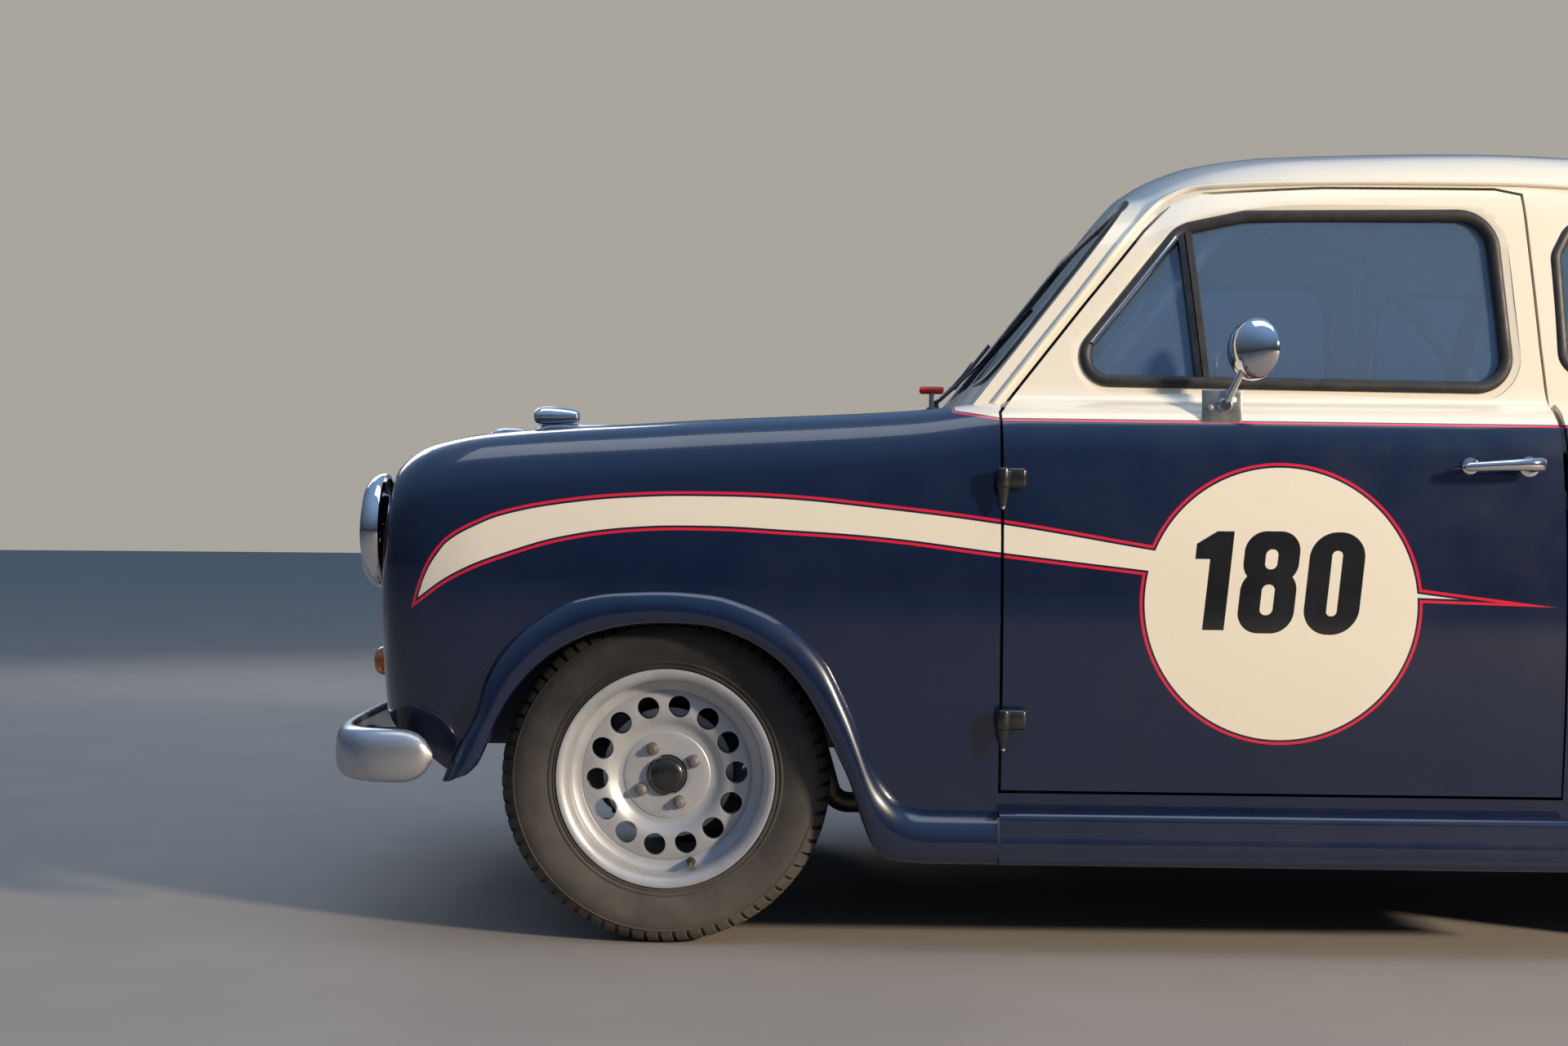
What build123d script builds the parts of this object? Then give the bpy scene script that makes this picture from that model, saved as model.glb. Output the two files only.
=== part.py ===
"""Small 1950s two-door saloon in historic race trim, modelled as its real panels and running gear.

Millimetres. X forward, Y to the car's left, Z up, origin on the ground at the middle of the length and width.
Stations s are measured rearward from the front axle, as a chassis drawing gives them.
"""
from build123d import *
import math
import os

os.makedirs("parts", exist_ok=True)

# Overall sizes
LENGTH = 3464.0
WHEELBASE = 2019.0
FRONT_OVERHANG = 585.0
TRACK_FRONT = 1149.0
TRACK_REAR = 1137.0

# Panels and gaps
SKIN = 12.0
DOOR_WALL = 45.0
FRAME_WALL = 28.0
SHUT = 5.0
SEAT = 0.3
RUN = 0.05

# Wheels
TYRE_RADIUS = 275.0
TYRE_HALF = 75.0
RIM_RADIUS = 182.5
RIM_HALF = 70.0
BARREL = 158.0
BEAD_RADIUS = 165.0
TYRE_FACETS = 64
HOLE_CIRCLE = 117.0
HOLE_RADIUS = 18.5
HOLES = 14
HUB_PAD = 72.5
DRUM_RADIUS = 112.0
STUB_RADIUS = 18.0
CAP_RADIUS = 31.5

# Wheel arches
ARCH_RADIUS = 305.0
ARCH_BAND = 55.0
ARCH_LIP = 14.0
ARCH_Z = 230.0
ARCH_FORWARD = 4.0
LIP_FOOT = 282.0
SILL_FRONT = 352.0
SILL_REAR = 1672.0
SILL_BOTTOM = 147.0
SILL_TOP = 234.0
SILL_ROUND = 13.0

# Doors
DOOR_FRONT = 548.0
DOOR_REAR = 1471.0
DOOR_BOTTOM = 267.0
HINGE_Y = 706.0
HINGE_S = 545.0
HINGE_PIN = 5.0
HINGE_BARREL = 10.0
LUG = 12.0
HINGE_HEIGHTS = (373.0, 763.0)
FRAME_EDGE = 509.0

# Front end
LAMP_Y = 515.0
LAMP_Z = 679.0
LAMP_RADIUS = 97.5
LAMP_TIP = 530.0
LAMP_BASE = 430.0
LAMP_BUCKET = 89.0
KINGPIN_Y = 488.0
KINGPIN_RADIUS = 11.0

AXLE_X = LENGTH / 2 - FRONT_OVERHANG


def at(s):
    """X of a station s behind the front axle."""
    return AXLE_X - s


def block(s0, s1, y0, y1, z0, z1):
    """Box between two stations, two widths and two heights."""
    centre = ((at(s0) + at(s1)) / 2, (y0 + y1) / 2, (z0 + z1) / 2)
    return Pos(*centre) * Box(abs(s1 - s0), y1 - y0, z1 - z0)


def side_face(points, radius=0.0):
    """Face in the car's side view through (station, height) corners, rounded by a radius."""
    face = make_face(Polyline(*[(at(s), z) for s, z in points], close=True))
    return fillet(face.vertices(), radius) if radius else face


def across(face, y0, y1):
    """Side-view face as a solid between two widths."""
    return extrude(Plane.XZ.offset(-y1) * face, y1 - y0)


def upright(points, z0, z1):
    """Plan outline through (station, width) corners as a solid between two heights."""
    face = make_face(Polyline(*[(at(s), y) for s, y in points], close=True))
    return extrude(Pos(0, 0, z0) * face, z1 - z0)


def cross_pin(s, z, radius, y0, y1):
    """Round bar across the car."""
    return Pos(at(s), (y0 + y1) / 2, z) * Rot(90, 0, 0) * Cylinder(radius, y1 - y0)


def post(s, y, radius, z0, z1):
    """Upright round bar."""
    return Pos(at(s), y, (z0 + z1) / 2) * Cylinder(radius, z1 - z0)


def tube(points, radius, bend):
    """Bar bent through (station, width, height) points with one bend radius."""
    corners = [(at(s), y, z) for s, y, z in points]
    path = FilletPolyline(*corners, radius=bend) if len(corners) > 2 else Line(*corners)
    return sweep(Plane(origin=path @ 0, z_dir=path % 0) * Circle(radius), path)


def other_side(shape):
    """The same piece on the car's right."""
    return mirror(shape, about=Plane.XZ)


def both_sides(shape):
    """A like pair on one body."""
    return Compound(children=[*shape.solids(), *other_side(shape).solids()])


def whole(shape):
    """Left half and its mirror as one piece."""
    return shape + other_side(shape)


def save(shape, node):
    """One node's file."""
    export_step(shape, f"parts/{node}.step")


# Lower body half sections. Columns: station, bottom z, bottom y, widest y, widest z,
# shoulder y, shoulder z, bonnet edge y, bonnet edge z, crown z, rise of the wing top
BODY = [
    (-488, 420, 500, 560, 560, 545, 690, 330, 700, 712, 8),
    (-478, 380, 550, 607, 560, 590, 740, 345, 745, 762, 12),
    (-455, 350, 590, 645, 560, 628, 778, 360, 782, 803, 16),
    (-400, 310, 620, 672, 560, 655, 806, 375, 812, 838, 20),
    (-300, 250, 640, 686, 560, 668, 822, 390, 832, 860, 22),
    (0, 200, 650, 690, 560, 672, 844, 405, 854, 893, 22),
    (400, 146, 655, 690, 560, 672, 876, 430, 880, 911, 16),
    (600, 146, 655, 690, 560, 668, 904, 450, 908, 918, 8),
    (1500, 146, 655, 690, 560, 668, 908, 450, 925, 935, 6),
    (1950, 146, 650, 690, 560, 668, 904, 440, 930, 945, 8),
    (2200, 170, 640, 682, 570, 652, 868, 400, 925, 952, 14),
    (2450, 240, 600, 660, 550, 622, 800, 380, 862, 890, 16),
    (2620, 300, 545, 616, 520, 582, 712, 340, 768, 800, 14),
    (2730, 340, 480, 556, 490, 526, 622, 300, 662, 692, 12),
    (2790, 380, 400, 470, 470, 450, 545, 250, 570, 592, 8),
]
SHOULDER_RADIUS = 70.0
BOTTOM_RADIUS = 28.0

# Roof half sections. Columns: station, foot y, roof corner y, roof corner z, crown z
ROOF = [
    (440, 604, 516, 1205, 1275),
    (800, 610, 534, 1250, 1320),
    (860, 611, 538, 1274, 1354),
    (940, 612, 541, 1298, 1383),
    (1080, 614, 546, 1318, 1400),
    (1420, 614, 550, 1330, 1408),
    (1700, 612, 546, 1318, 1396),
    (1950, 604, 532, 1266, 1345),
    (2150, 590, 512, 1175, 1250),
    (2340, 566, 484, 1060, 1120),
]
ROOF_FOOT_Z = 880.0
ROOF_RADIUS = 120.0


def station_plane(s):
    """Cross-section plane with its normal forward."""
    return Plane(origin=(at(s), 0, 0), x_dir=(0, 1, 0), z_dir=(1, 0, 0))


def crown_arc(edge, crown):
    """Arc that is level on the centre line and falls to an edge point."""
    y, z = edge
    drop = crown - z
    radius = (y * y + drop * drop) / (2 * drop)
    half = y / 2
    middle = (half, crown - radius + math.sqrt(radius * radius - half * half))
    return ThreePointArc(edge, middle, (0, crown))


def rounded(face, corner, radius):
    """Round the one corner of a section that lies at a point."""
    near = [v for v in face.vertices() if math.dist((v.X, v.Y), corner) < 0.01]
    return fillet(near, radius)


def facing_front(face):
    """Section turned so that every station faces the same way."""
    return face if face.normal_at().X > 0 else -face


def body_section(row, wall):
    """Half section of the lower body at one station, drawn in by a wall."""
    s, bottom_z, bottom_y, wide_y, wide_z, top_y, top_z, edge_y, edge_z, crown, rise = row
    bottom = (bottom_y - wall, bottom_z + wall)
    shoulder = (top_y - wall, top_z - wall)
    edge = (edge_y, edge_z - wall)
    wing_top = ((shoulder[0] + edge[0]) / 2, (shoulder[1] + edge[1]) / 2 + rise)
    outline = [
        Line((0, bottom[1]), bottom),
        ThreePointArc(bottom, (wide_y - wall, wide_z), shoulder),
        ThreePointArc(shoulder, wing_top, edge),
        crown_arc(edge, crown - wall),
        Line((0, crown - wall), (0, bottom[1])),
    ]
    face = rounded(make_face(outline), bottom, BOTTOM_RADIUS - wall / 2)
    face = rounded(face, shoulder, SHOULDER_RADIUS - wall)
    return facing_front((station_plane(s) * face).face())


def roof_section(row, wall):
    """Half section of the glasshouse at one station, drawn in by a wall."""
    s, foot_y, corner_y, corner_z, crown = row
    foot = (foot_y - wall, ROOF_FOOT_Z)
    corner = (corner_y - wall, corner_z - wall)
    middle = ((foot[0] + corner[0]) / 2 + 6, (foot[1] + corner[1]) / 2)
    outline = [
        Line((0, ROOF_FOOT_Z), foot),
        ThreePointArc(foot, middle, corner),
        crown_arc(corner, crown - wall),
        Line((0, crown - wall), (0, ROOF_FOOT_Z)),
    ]
    face = rounded(make_face(outline), corner, ROOF_RADIUS)
    return facing_front((station_plane(s) * face).face())


def body_half(wall):
    """Left half of the lower body, drawn in by a wall all round."""
    front, rear = BODY[0], BODY[-1]
    between = [row for row in BODY if front[0] + wall < row[0] < rear[0] - wall]
    rows = [(front[0] + wall,) + front[1:], *between, (rear[0] - wall,) + rear[1:]]
    return loft([body_section(row, wall) for row in reversed(rows)], ruled=True)


def cabin_half(wall):
    """Left half of the lower body beside the cabin, drawn in by a wall."""
    rows = [row for row in BODY if DOOR_FRONT - 150 < row[0] < DOOR_REAR + 500]
    return loft([body_section(row, wall) for row in reversed(rows)], ruled=True)


# Windscreen and rear window lie in planes through two side-view points (station, height),
# and the windscreen is bowed forward of its plane on the centre line
SCREEN_FOOT = (503, 905)
SCREEN_HEAD = (833, 1326)
REAR_FOOT = (2212, 945)
REAR_HEAD = (1968, 1326)
SCREEN_BOW = 12.0
SCREEN_HALF = 540.0
BOW_RADIUS = (SCREEN_HALF ** 2 + SCREEN_BOW ** 2) / (2 * SCREEN_BOW)


def screen_plane(foot, head, y_sign):
    """Plane of a screen: across the car, up its lean, and outwards."""
    lean = Vector(at(head[0]) - at(foot[0]), 0, head[1] - foot[1])
    normal = Vector(0, y_sign, 0).cross(lean)
    origin = (at((foot[0] + head[0]) / 2), 0, (foot[1] + head[1]) / 2)
    return Plane(origin=origin, x_dir=(0, y_sign, 0), z_dir=normal)


windscreen_plane = screen_plane(SCREEN_FOOT, SCREEN_HEAD, 1)
rear_plane = screen_plane(REAR_FOOT, REAR_HEAD, -1)


def screen_bow(wall):
    """Everything behind the bowed face of the windscreen, drawn in by a wall."""
    upright_axis = windscreen_plane * Pos(0, 0, SCREEN_BOW - BOW_RADIUS) * Rot(90, 0, 0)
    return upright_axis * Cylinder(BOW_RADIUS - wall, 2400)


def roof_half(wall):
    """Left half of the glasshouse, drawn in by a wall and cut by the screen planes."""
    solid = loft([roof_section(row, wall) for row in reversed(ROOF)], ruled=True)
    back = (REAR_HEAD[0] - REAR_FOOT[0]) / (REAR_HEAD[1] - REAR_FOOT[1])
    low, high = ROOF_FOOT_Z - 50, 1500
    rear_s = [REAR_FOOT[0] + back * (z - REAR_FOOT[1]) - wall * math.hypot(1, back) for z in (low, high)]
    keep = side_face([(300, low), (rear_s[0], low), (rear_s[1], high), (300, high)])
    return (solid & across(keep, -1, 800)) & screen_bow(wall)


outer = body_half(0)
skin = outer - body_half(SKIN)
thick = cabin_half(0) - cabin_half(DOOR_WALL)
glasshouse = roof_half(0)
roof_skin = glasshouse - roof_half(FRAME_WALL)


def wheel_arch(axle_s):
    """The round opening over a wheel and the falling line behind it."""
    centre_s = axle_s - ARCH_FORWARD
    face = Pos(at(centre_s), ARCH_Z) * Circle(ARCH_RADIUS)
    return across(face, 380, 800)


def arch_lip(axle_s):
    """Raised band round the opening, standing proud of the side."""
    centre = Pos(at(axle_s - ARCH_FORWARD), ARCH_Z)
    band = centre * Circle(ARCH_RADIUS + ARCH_BAND) - centre * Circle(ARCH_RADIUS)
    ring = across(band, 640, 690 + ARCH_LIP)
    ring = fillet(ring.edges().filter_by(GeomType.CIRCLE).sort_by(Axis.Y)[-2:], 5)
    return ring & block(axle_s - 400, axle_s + 400, 600, 800, LIP_FOOT, 700)


front_arch = wheel_arch(0)
rear_arch = wheel_arch(WHEELBASE)
roll = block(SILL_FRONT, SILL_REAR, 640, 690 + ARCH_LIP, SILL_BOTTOM, SILL_TOP)
roll = fillet(roll.edges().filter_by(Axis.X).sort_by(Axis.Y)[-2:], SILL_ROUND)
sill_roll = roll - outer

# Doors: side-view outline with the sloping front frame
DOOR_OUTLINE = [
    (DOOR_FRONT + 5, DOOR_BOTTOM), (DOOR_FRONT + 3, 700), (DOOR_FRONT + 1, 888), (690, 1068),
    (800, 1205), (848, 1254), (900, 1272), (1100, 1281), (1390, 1281), (1432, 1272),
    (1452, 1010), (1466, 870), (DOOR_REAR, 700), (DOOR_REAR + 2, DOOR_BOTTOM),
]
WINDOW_OUTLINE = [
    (702, 942), (845, 1206), (962, 1238), (1335, 1240), (1392, 1190), (1404, 942),
]
QUARTER_OUTLINE = [(1488, 965), (1480, 1170), (1510, 1226), (1790, 1226), (1880, 1150), (1930, 965)]
WINDOW_ROUND = 28.0

door_face = side_face(DOOR_OUTLINE)
door_hole = offset(door_face, SHUT, kind=Kind.INTERSECTION)
window_face = side_face(WINDOW_OUTLINE, WINDOW_ROUND)
quarter_face = side_face(QUARTER_OUTLINE, WINDOW_ROUND)
window_cut = across(window_face, 400, 800)
quarter_cut = across(quarter_face, 400, 800)
glass_band = roof_half(10) - roof_half(15)

# Left door
lower_door = (thick & across(door_face, FRAME_EDGE, 800)) - block(400, 1700, 0, 612, 0, 1000)
upper_door = (roof_skin & across(door_face, FRAME_EDGE, 800)) - window_cut
door = lower_door + (upper_door - block(400, 1700, 0, 800, 0, 890))


def hinge_pair(make):
    """The upper and lower door hinge, each made at its height."""
    upper, lower = [make(z) for z in HINGE_HEIGHTS]
    return upper + lower


def door_hinge(z):
    """Barrel and leaf on the door."""
    barrel = post(HINGE_S, HINGE_Y, HINGE_BARREL, z - 14, z + 14)
    leaf = block(HINGE_S, HINGE_S + 40, 668, HINGE_Y + 2, z - 14, z + 14)
    return (barrel + leaf) - post(HINGE_S, HINGE_Y, HINGE_PIN + RUN, z - 40, z + 40)


def wing_hinge(z):
    """Fixed pin with a lug under and over the door's barrel."""
    hinge = post(HINGE_S, HINGE_Y, HINGE_PIN, z - 30, z + 30)
    for low in (z - 14 - SEAT - LUG, z + 14 + SEAT):
        eye = post(HINGE_S, HINGE_Y, HINGE_BARREL, low, low + LUG)
        hinge = hinge + (eye + block(HINGE_S - 30, HINGE_S, 668, HINGE_Y, low, low + LUG))
    return hinge


hinge_room = hinge_pair(lambda z: block(HINGE_S - 12, HINGE_S + 60, 660, 760, z - 27, z + 27))
door = (door - hinge_pair(lambda z: post(HINGE_S, HINGE_Y, 18, z - 32, z + 32))) + hinge_pair(door_hinge)
handle = block(1295, 1428, 712, 722, 806, 822)
for foot_s in (1305, 1398):
    handle = handle + block(foot_s, foot_s + 20, 676, 714, 808, 820)
door = door + handle
save(door, "door_left")
save(other_side(door), "door_right")
door_glass = glass_band & window_cut
save(door_glass, "door_glass_left")
save(other_side(door_glass), "door_glass_right")

# Door mirror on its bracket
MIRROR_S, MIRROR_Z = 949.0, 996.0
bracket = block(886, 943, 655, 661, 846, 930) + block(905, 925, 640, 661, 848, 872)
arm = tube([(915, 658, 920), (MIRROR_S - 4, 686, MIRROR_Z - 20)], 5, 0)
head = Pos(at(MIRROR_S), 690, MIRROR_Z) * Rot(0, 90, 0) * chamfer(Cylinder(52, 22).edges(), 8)
mirror_left = (bracket + arm + head) - door
save(mirror_left, "door_mirror_left")
save(other_side(mirror_left), "door_mirror_right")

# Front wings
BONNET_FRONT = -425.0
BONNET_REAR = 400.0
BONNET_EDGE_FRONT = 352.0
BONNET_EDGE_REAR = 428.0
SCUTTLE_EDGE = 602.0
scuttle_line = BONNET_REAR + SHUT
wing_plan = upright(
    [(-500, BONNET_EDGE_FRONT), (BONNET_FRONT - SHUT, BONNET_EDGE_FRONT),
     (BONNET_FRONT - SHUT, BONNET_EDGE_FRONT + SHUT), (scuttle_line, BONNET_EDGE_REAR + SHUT),
     (scuttle_line, SCUTTLE_EDGE), (DOOR_FRONT, SCUTTLE_EDGE), (DOOR_FRONT, 800), (-500, 800)], 0, 1000)
hollow = block(-472, 700, 0, 612, 0, 760) + block(-400, 700, 0, 300, 0, 830)
lamp_hole = Pos(at(-LAMP_BASE), LAMP_Y, LAMP_Z) * Rot(0, 90, 0) * Cylinder(LAMP_BUCKET + SEAT, 200)
wing = (skin + (arch_lip(0) - outer) + sill_roll) & wing_plan
wing = wing - hollow - front_arch - across(door_hole, 300, 800) - glasshouse - lamp_hole
hinge_slot = block(HINGE_S - 12, HINGE_S + 60, 650, 760, 0, 40)
for height in HINGE_HEIGHTS:
    wing = wing - Pos(0, 0, height - 20) * hinge_slot
wing = wing + (hinge_pair(wing_hinge) - across(door_face, 300, 690))
save(wing, "front_wing_left")
save(other_side(wing), "front_wing_right")

# Bonnet with its two goose-neck hinge arms. Its rear edge is a thin lip, which swings clear of the scuttle
BONNET_LIP = 4.0
BONNET_LIP_REACH = 14.0
bonnet_plan = upright(
    [(BONNET_FRONT, -1), (BONNET_FRONT, BONNET_EDGE_FRONT),
     (BONNET_REAR, BONNET_EDGE_REAR), (BONNET_REAR, -1)], 500, 1000)
lip_strip = block(BONNET_REAR - BONNET_LIP_REACH, scuttle_line, -1, SCUTTLE_EDGE, 700, 1000)
bonnet = whole((skin & bonnet_plan) - Pos(0, 0, -BONNET_LIP) * (skin & lip_strip))
BONNET_HINGE_S = BONNET_REAR + 68.0
BONNET_HINGE_Z = 868.0
ARM_Y = 300.0
ARM_WIDTH = 16.0


def goose_neck(y):
    """Arm that hangs from the bonnet and hooks back up to its pin."""
    path = [(-100, 24), (-100, -66), (4, -66), (4, 0), (-4, 0), (-4, -58), (-92, -58), (-92, 24)]
    face = side_face([(BONNET_HINGE_S + s, BONNET_HINGE_Z + z) for s, z in path])
    eye = cross_pin(BONNET_HINGE_S, BONNET_HINGE_Z, 9, y, y + ARM_WIDTH)
    return across(face, y, y + ARM_WIDTH) + eye


arm_bore = cross_pin(BONNET_HINGE_S, BONNET_HINGE_Z, 4 + RUN, -400, 400)
arms = goose_neck(ARM_Y) + goose_neck(-ARM_Y - ARM_WIDTH)
bonnet = bonnet + (arms - arm_bore)
save(bonnet, "bonnet")

# Scuttle with the pins that the bonnet arms turn on
scuttle_plan = upright(
    [(scuttle_line, -1), (scuttle_line, SCUTTLE_EDGE), (640, SCUTTLE_EDGE), (640, -1)], 700, 1000)
scuttle = whole((skin & scuttle_plan) - glasshouse - across(door_hole, 300, 800))


def scuttle_pin(y):
    """Pin held between two cheeks under the scuttle."""
    pin = cross_pin(BONNET_HINGE_S, BONNET_HINGE_Z, 4, y - 12, y + ARM_WIDTH + 12)
    cheek = block(BONNET_HINGE_S - 12, BONNET_HINGE_S + 5, y - 12, y - 1,
                  BONNET_HINGE_Z - 10, BONNET_HINGE_Z + 25)
    return pin + cheek + Pos(0, ARM_WIDTH + 13, 0) * cheek


scuttle = scuttle + scuttle_pin(ARM_Y) + scuttle_pin(-ARM_Y - ARM_WIDTH)
save(scuttle, "scuttle")

# Front panel with the grille opening
GRILLE_OUTLINE = [(-262, 455), (-285, 560), (-240, 672), (240, 672), (285, 560), (262, 455)]


def front_view(points, radius):
    """Rounded face through (width, height) corners, seen from the front."""
    face = make_face(Polyline(*points, close=True))
    return fillet(face.vertices(), radius)


grille_face = front_view(GRILLE_OUTLINE, 38)
grille_room = extrude(station_plane(-400) * grille_face, 150)
front_plan = upright(
    [(-500, -1), (-500, BONNET_EDGE_FRONT), (BONNET_FRONT - SHUT, BONNET_EDGE_FRONT),
     (BONNET_FRONT - SHUT, -1)], 300, 1000)
front_panel = whole((skin & front_plan) - block(-472, -300, 0, 400, 0, 700)) - grille_room
save(front_panel, "front_panel")

# Grille: surround ring and horizontal slats
ring = grille_face - offset(grille_face, -14)
slats = [Pos(0, z) * Rectangle(540, 7) for z in range(480, 660, 19)]
slat_face = Sketch() + [slat & offset(grille_face, -10) for slat in slats]
grille = extrude(station_plane(-478) * ring, 18) + extrude(station_plane(-480) * slat_face, 8)
grille = grille + extrude(station_plane(-480) * (Pos(0, 565) * Rectangle(10, 190)), 9)
save(grille, "grille")

# Headlamps
lamp_profile = [(-410, 0), (-410, 60), (-440, LAMP_BUCKET), (-487.5, LAMP_BUCKET), (-488, LAMP_RADIUS),
                (-500, LAMP_RADIUS), (-508, 90), (-522, 60), (-LAMP_TIP, 0)]
lamp_face = make_face(Polyline(*[(at(s), r) for s, r in lamp_profile], close=True))
lamp = Pos(0, LAMP_Y, LAMP_Z) * revolve(Plane.XY * lamp_face, Axis.X)
lamp = lamp - wing
save(both_sides(lamp), "headlamps")

# Front indicators
indicator = Pos(at(-488) + 4, 450, 452) * Rot(0, 90, 0) * Cylinder(33, 8)
indicator = indicator + Pos(at(-488) + 20, 450, 452) * Rot(0, 90, 0) * Cone(25, 14, 24)
save(both_sides(indicator - wing), "front_indicators")

# Streamlined lamps on the wing tops and the ornament on the bonnet
torpedo_profile = [(-243, 0), (-240, 8), (-230, 14), (-212, 17), (-190, 14), (-165, 8), (-163, 0)]
torpedo = make_face(Polyline(*[(at(s), r) for s, r in torpedo_profile], close=True))
wing_lamp = Pos(0, 480, 880) * revolve(torpedo, Axis.X)
lamp_foot = side_face([(-237, 844), (-233, 868), (-170, 874), (-87, 868), (-80, 856)])
wing_lamp = wing_lamp + across(lamp_foot, 474, 486)
save(both_sides(wing_lamp - wing), "wing_lamps")
ornament = across(side_face([(-395, 840), (-392, 858), (-350, 876), (-300, 872), (-300, 850)]), -8, 8)
save(ornament - bonnet, "bonnet_ornament")

# Bumpers: bowed blades on two irons
BUMPER_Z = 312.0
BLADE = 74.0


def bumper(points, radii, iron_s, iron_y):
    """Blade bent along a plan path, on two irons."""
    path = FilletPolyline(*[(at(s), y) for s, y in points], radius=radii)
    start = Plane(origin=path @ 0, z_dir=path % 0)
    blade = sweep(start * Rectangle(BLADE, 12), path)
    if blade.bounding_box().size.Z < BLADE - 1:
        blade = sweep(start * Rectangle(12, BLADE), path)
    blade = Pos(0, 0, BUMPER_Z) * blade
    irons = block(*iron_s, iron_y, iron_y + 40, BUMPER_Z - 12, BUMPER_Z + 12)
    return blade + irons + other_side(irons)


FRONT_TIP = FRONT_OVERHANG - 6
REAR_TIP = LENGTH - FRONT_OVERHANG - 6
front_path = [(-388, 688), (-520, 668), (-FRONT_TIP, 300), (-FRONT_TIP, -300), (-520, -668), (-388, -688)]
front_bumper = bumper(front_path, 60, (-FRONT_TIP + 4, -440), 300)
save(front_bumper, "front_bumper")
rear_path = [(2690, 668), (2800, 640), (REAR_TIP, 300), (REAR_TIP, -300), (2800, -640), (2690, -668)]
rear_bumper = bumper(rear_path, 60, (2700, REAR_TIP - 4), 300)

# Rear quarters, boot lid and rear panel
BOOT_FRONT, BOOT_REAR = 2240.0, 2783.0
BOOT_EDGE_FRONT, BOOT_EDGE_REAR = 400.0, 250.0
BOOT_SIDE_S, BOOT_EDGE_SIDE = 2640.0, 345.0
quarter_plan = upright(
    [(1300, 600), (1300, 800), (2850, 800), (2850, BOOT_EDGE_REAR + SHUT),
     (BOOT_REAR, BOOT_EDGE_REAR + SHUT), (BOOT_SIDE_S, BOOT_EDGE_SIDE + SHUT),
     (BOOT_FRONT - SHUT, BOOT_EDGE_FRONT + SHUT), (BOOT_FRONT - SHUT, -1), (2100, -1), (2100, 600)], 0, 1000)
quarter = (skin + (arch_lip(WHEELBASE) - outer) + sill_roll) & quarter_plan
quarter = quarter - block(1000, 2600, 0, 560, 0, 700) - block(1000, 2400, 0, 612, 0, 760)
quarter = quarter - rear_arch - across(door_hole, 300, 800) - glasshouse
quarter = quarter - block(1000, DOOR_REAR + SHUT, 0, 800, 0, 1000)
quarter = quarter & block(1000, 2850, 0.0, 800, 0, 1000)
boot_plan = upright(
    [(BOOT_FRONT, -1), (BOOT_FRONT, BOOT_EDGE_FRONT), (BOOT_SIDE_S, BOOT_EDGE_SIDE),
     (BOOT_REAR, BOOT_EDGE_REAR), (BOOT_REAR, -1)], 540, 1000)
boot = whole(skin & boot_plan)
panel_plan = upright(
    [(2700, -1), (2700, BOOT_EDGE_REAR + SHUT), (2850, BOOT_EDGE_REAR + SHUT), (2850, -1)], 0, 700)
pads = block(2690, 2730, 300, 340, BUMPER_Z, 350)
rear_bumper = (rear_bumper + pads + other_side(pads)) - quarter - other_side(quarter)
save(rear_bumper, "rear_bumper")
boot_room = boot_plan + Pos(-SHUT, 0, 0) * boot_plan
rear_panel = whole((skin & panel_plan) - block(2600, 2778, 0, 400, 0, 700) - boot_room)
BOOT_HINGE_Z = 948.0
BOOT_HINGE_S = BOOT_FRONT - 3
BOOT_HINGE_Y = 200.0


def boot_lugs():
    """Pin and two lugs on the deck."""
    pin = cross_pin(BOOT_HINGE_S, BOOT_HINGE_Z, 4, BOOT_HINGE_Y - 25, BOOT_HINGE_Y + 25)
    lug = [(-12, 926), (-12, 946), (-4, 955), (7, 955), (7, 947), (-3, 940), (-3, 926)]
    lug_face = side_face([(BOOT_HINGE_S + s, z) for s, z in lug])
    return pin + across(lug_face, BOOT_HINGE_Y + 12 + SEAT, BOOT_HINGE_Y + 25) + across(
        lug_face, BOOT_HINGE_Y - 25, BOOT_HINGE_Y - 12 - SEAT)


def boot_strap():
    """Barrel and strap on the lid."""
    barrel = cross_pin(BOOT_HINGE_S, BOOT_HINGE_Z, 8, BOOT_HINGE_Y - 12, BOOT_HINGE_Y + 12)
    strap = side_face([(BOOT_HINGE_S + s, z) for s, z in [(3, 930), (3, 954), (64, 936), (64, 912)]])
    bore = cross_pin(BOOT_HINGE_S, BOOT_HINGE_Z, 4 + RUN, BOOT_HINGE_Y - 30, BOOT_HINGE_Y + 30)
    return (barrel + across(strap, BOOT_HINGE_Y - 12, BOOT_HINGE_Y + 12)) - bore


quarter = quarter + boot_lugs()
save(quarter, "rear_quarter_left")
save(other_side(quarter), "rear_quarter_right")
boot = boot + whole(boot_strap())
save(boot, "boot_lid")
save(rear_panel, "rear_panel")

# Roof with its pillars and screen surrounds
windscreen_face = front_view([(-545, -212), (545, -212), (488, 190), (-488, 190)], 70)
rear_face = front_view([(-450, -150), (450, -150), (400, 160), (-400, 160)], 70)
windscreen_cut = extrude(windscreen_plane * windscreen_face, 90, both=True)
rear_cut = extrude(rear_plane * rear_face, 90, both=True)
roof = whole(roof_skin - across(door_hole, FRAME_EDGE - SHUT, 800) - quarter_cut) - windscreen_cut - rear_cut
save(roof, "roof")
save(both_sides(glass_band & quarter_cut), "quarter_glass")
screen_slab = extrude(windscreen_plane * windscreen_face, 60, both=True)
save((screen_bow(9) - screen_bow(14)) & screen_slab, "windscreen")
save(extrude(rear_plane.offset(-14) * rear_face, 5), "rear_window")

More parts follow.
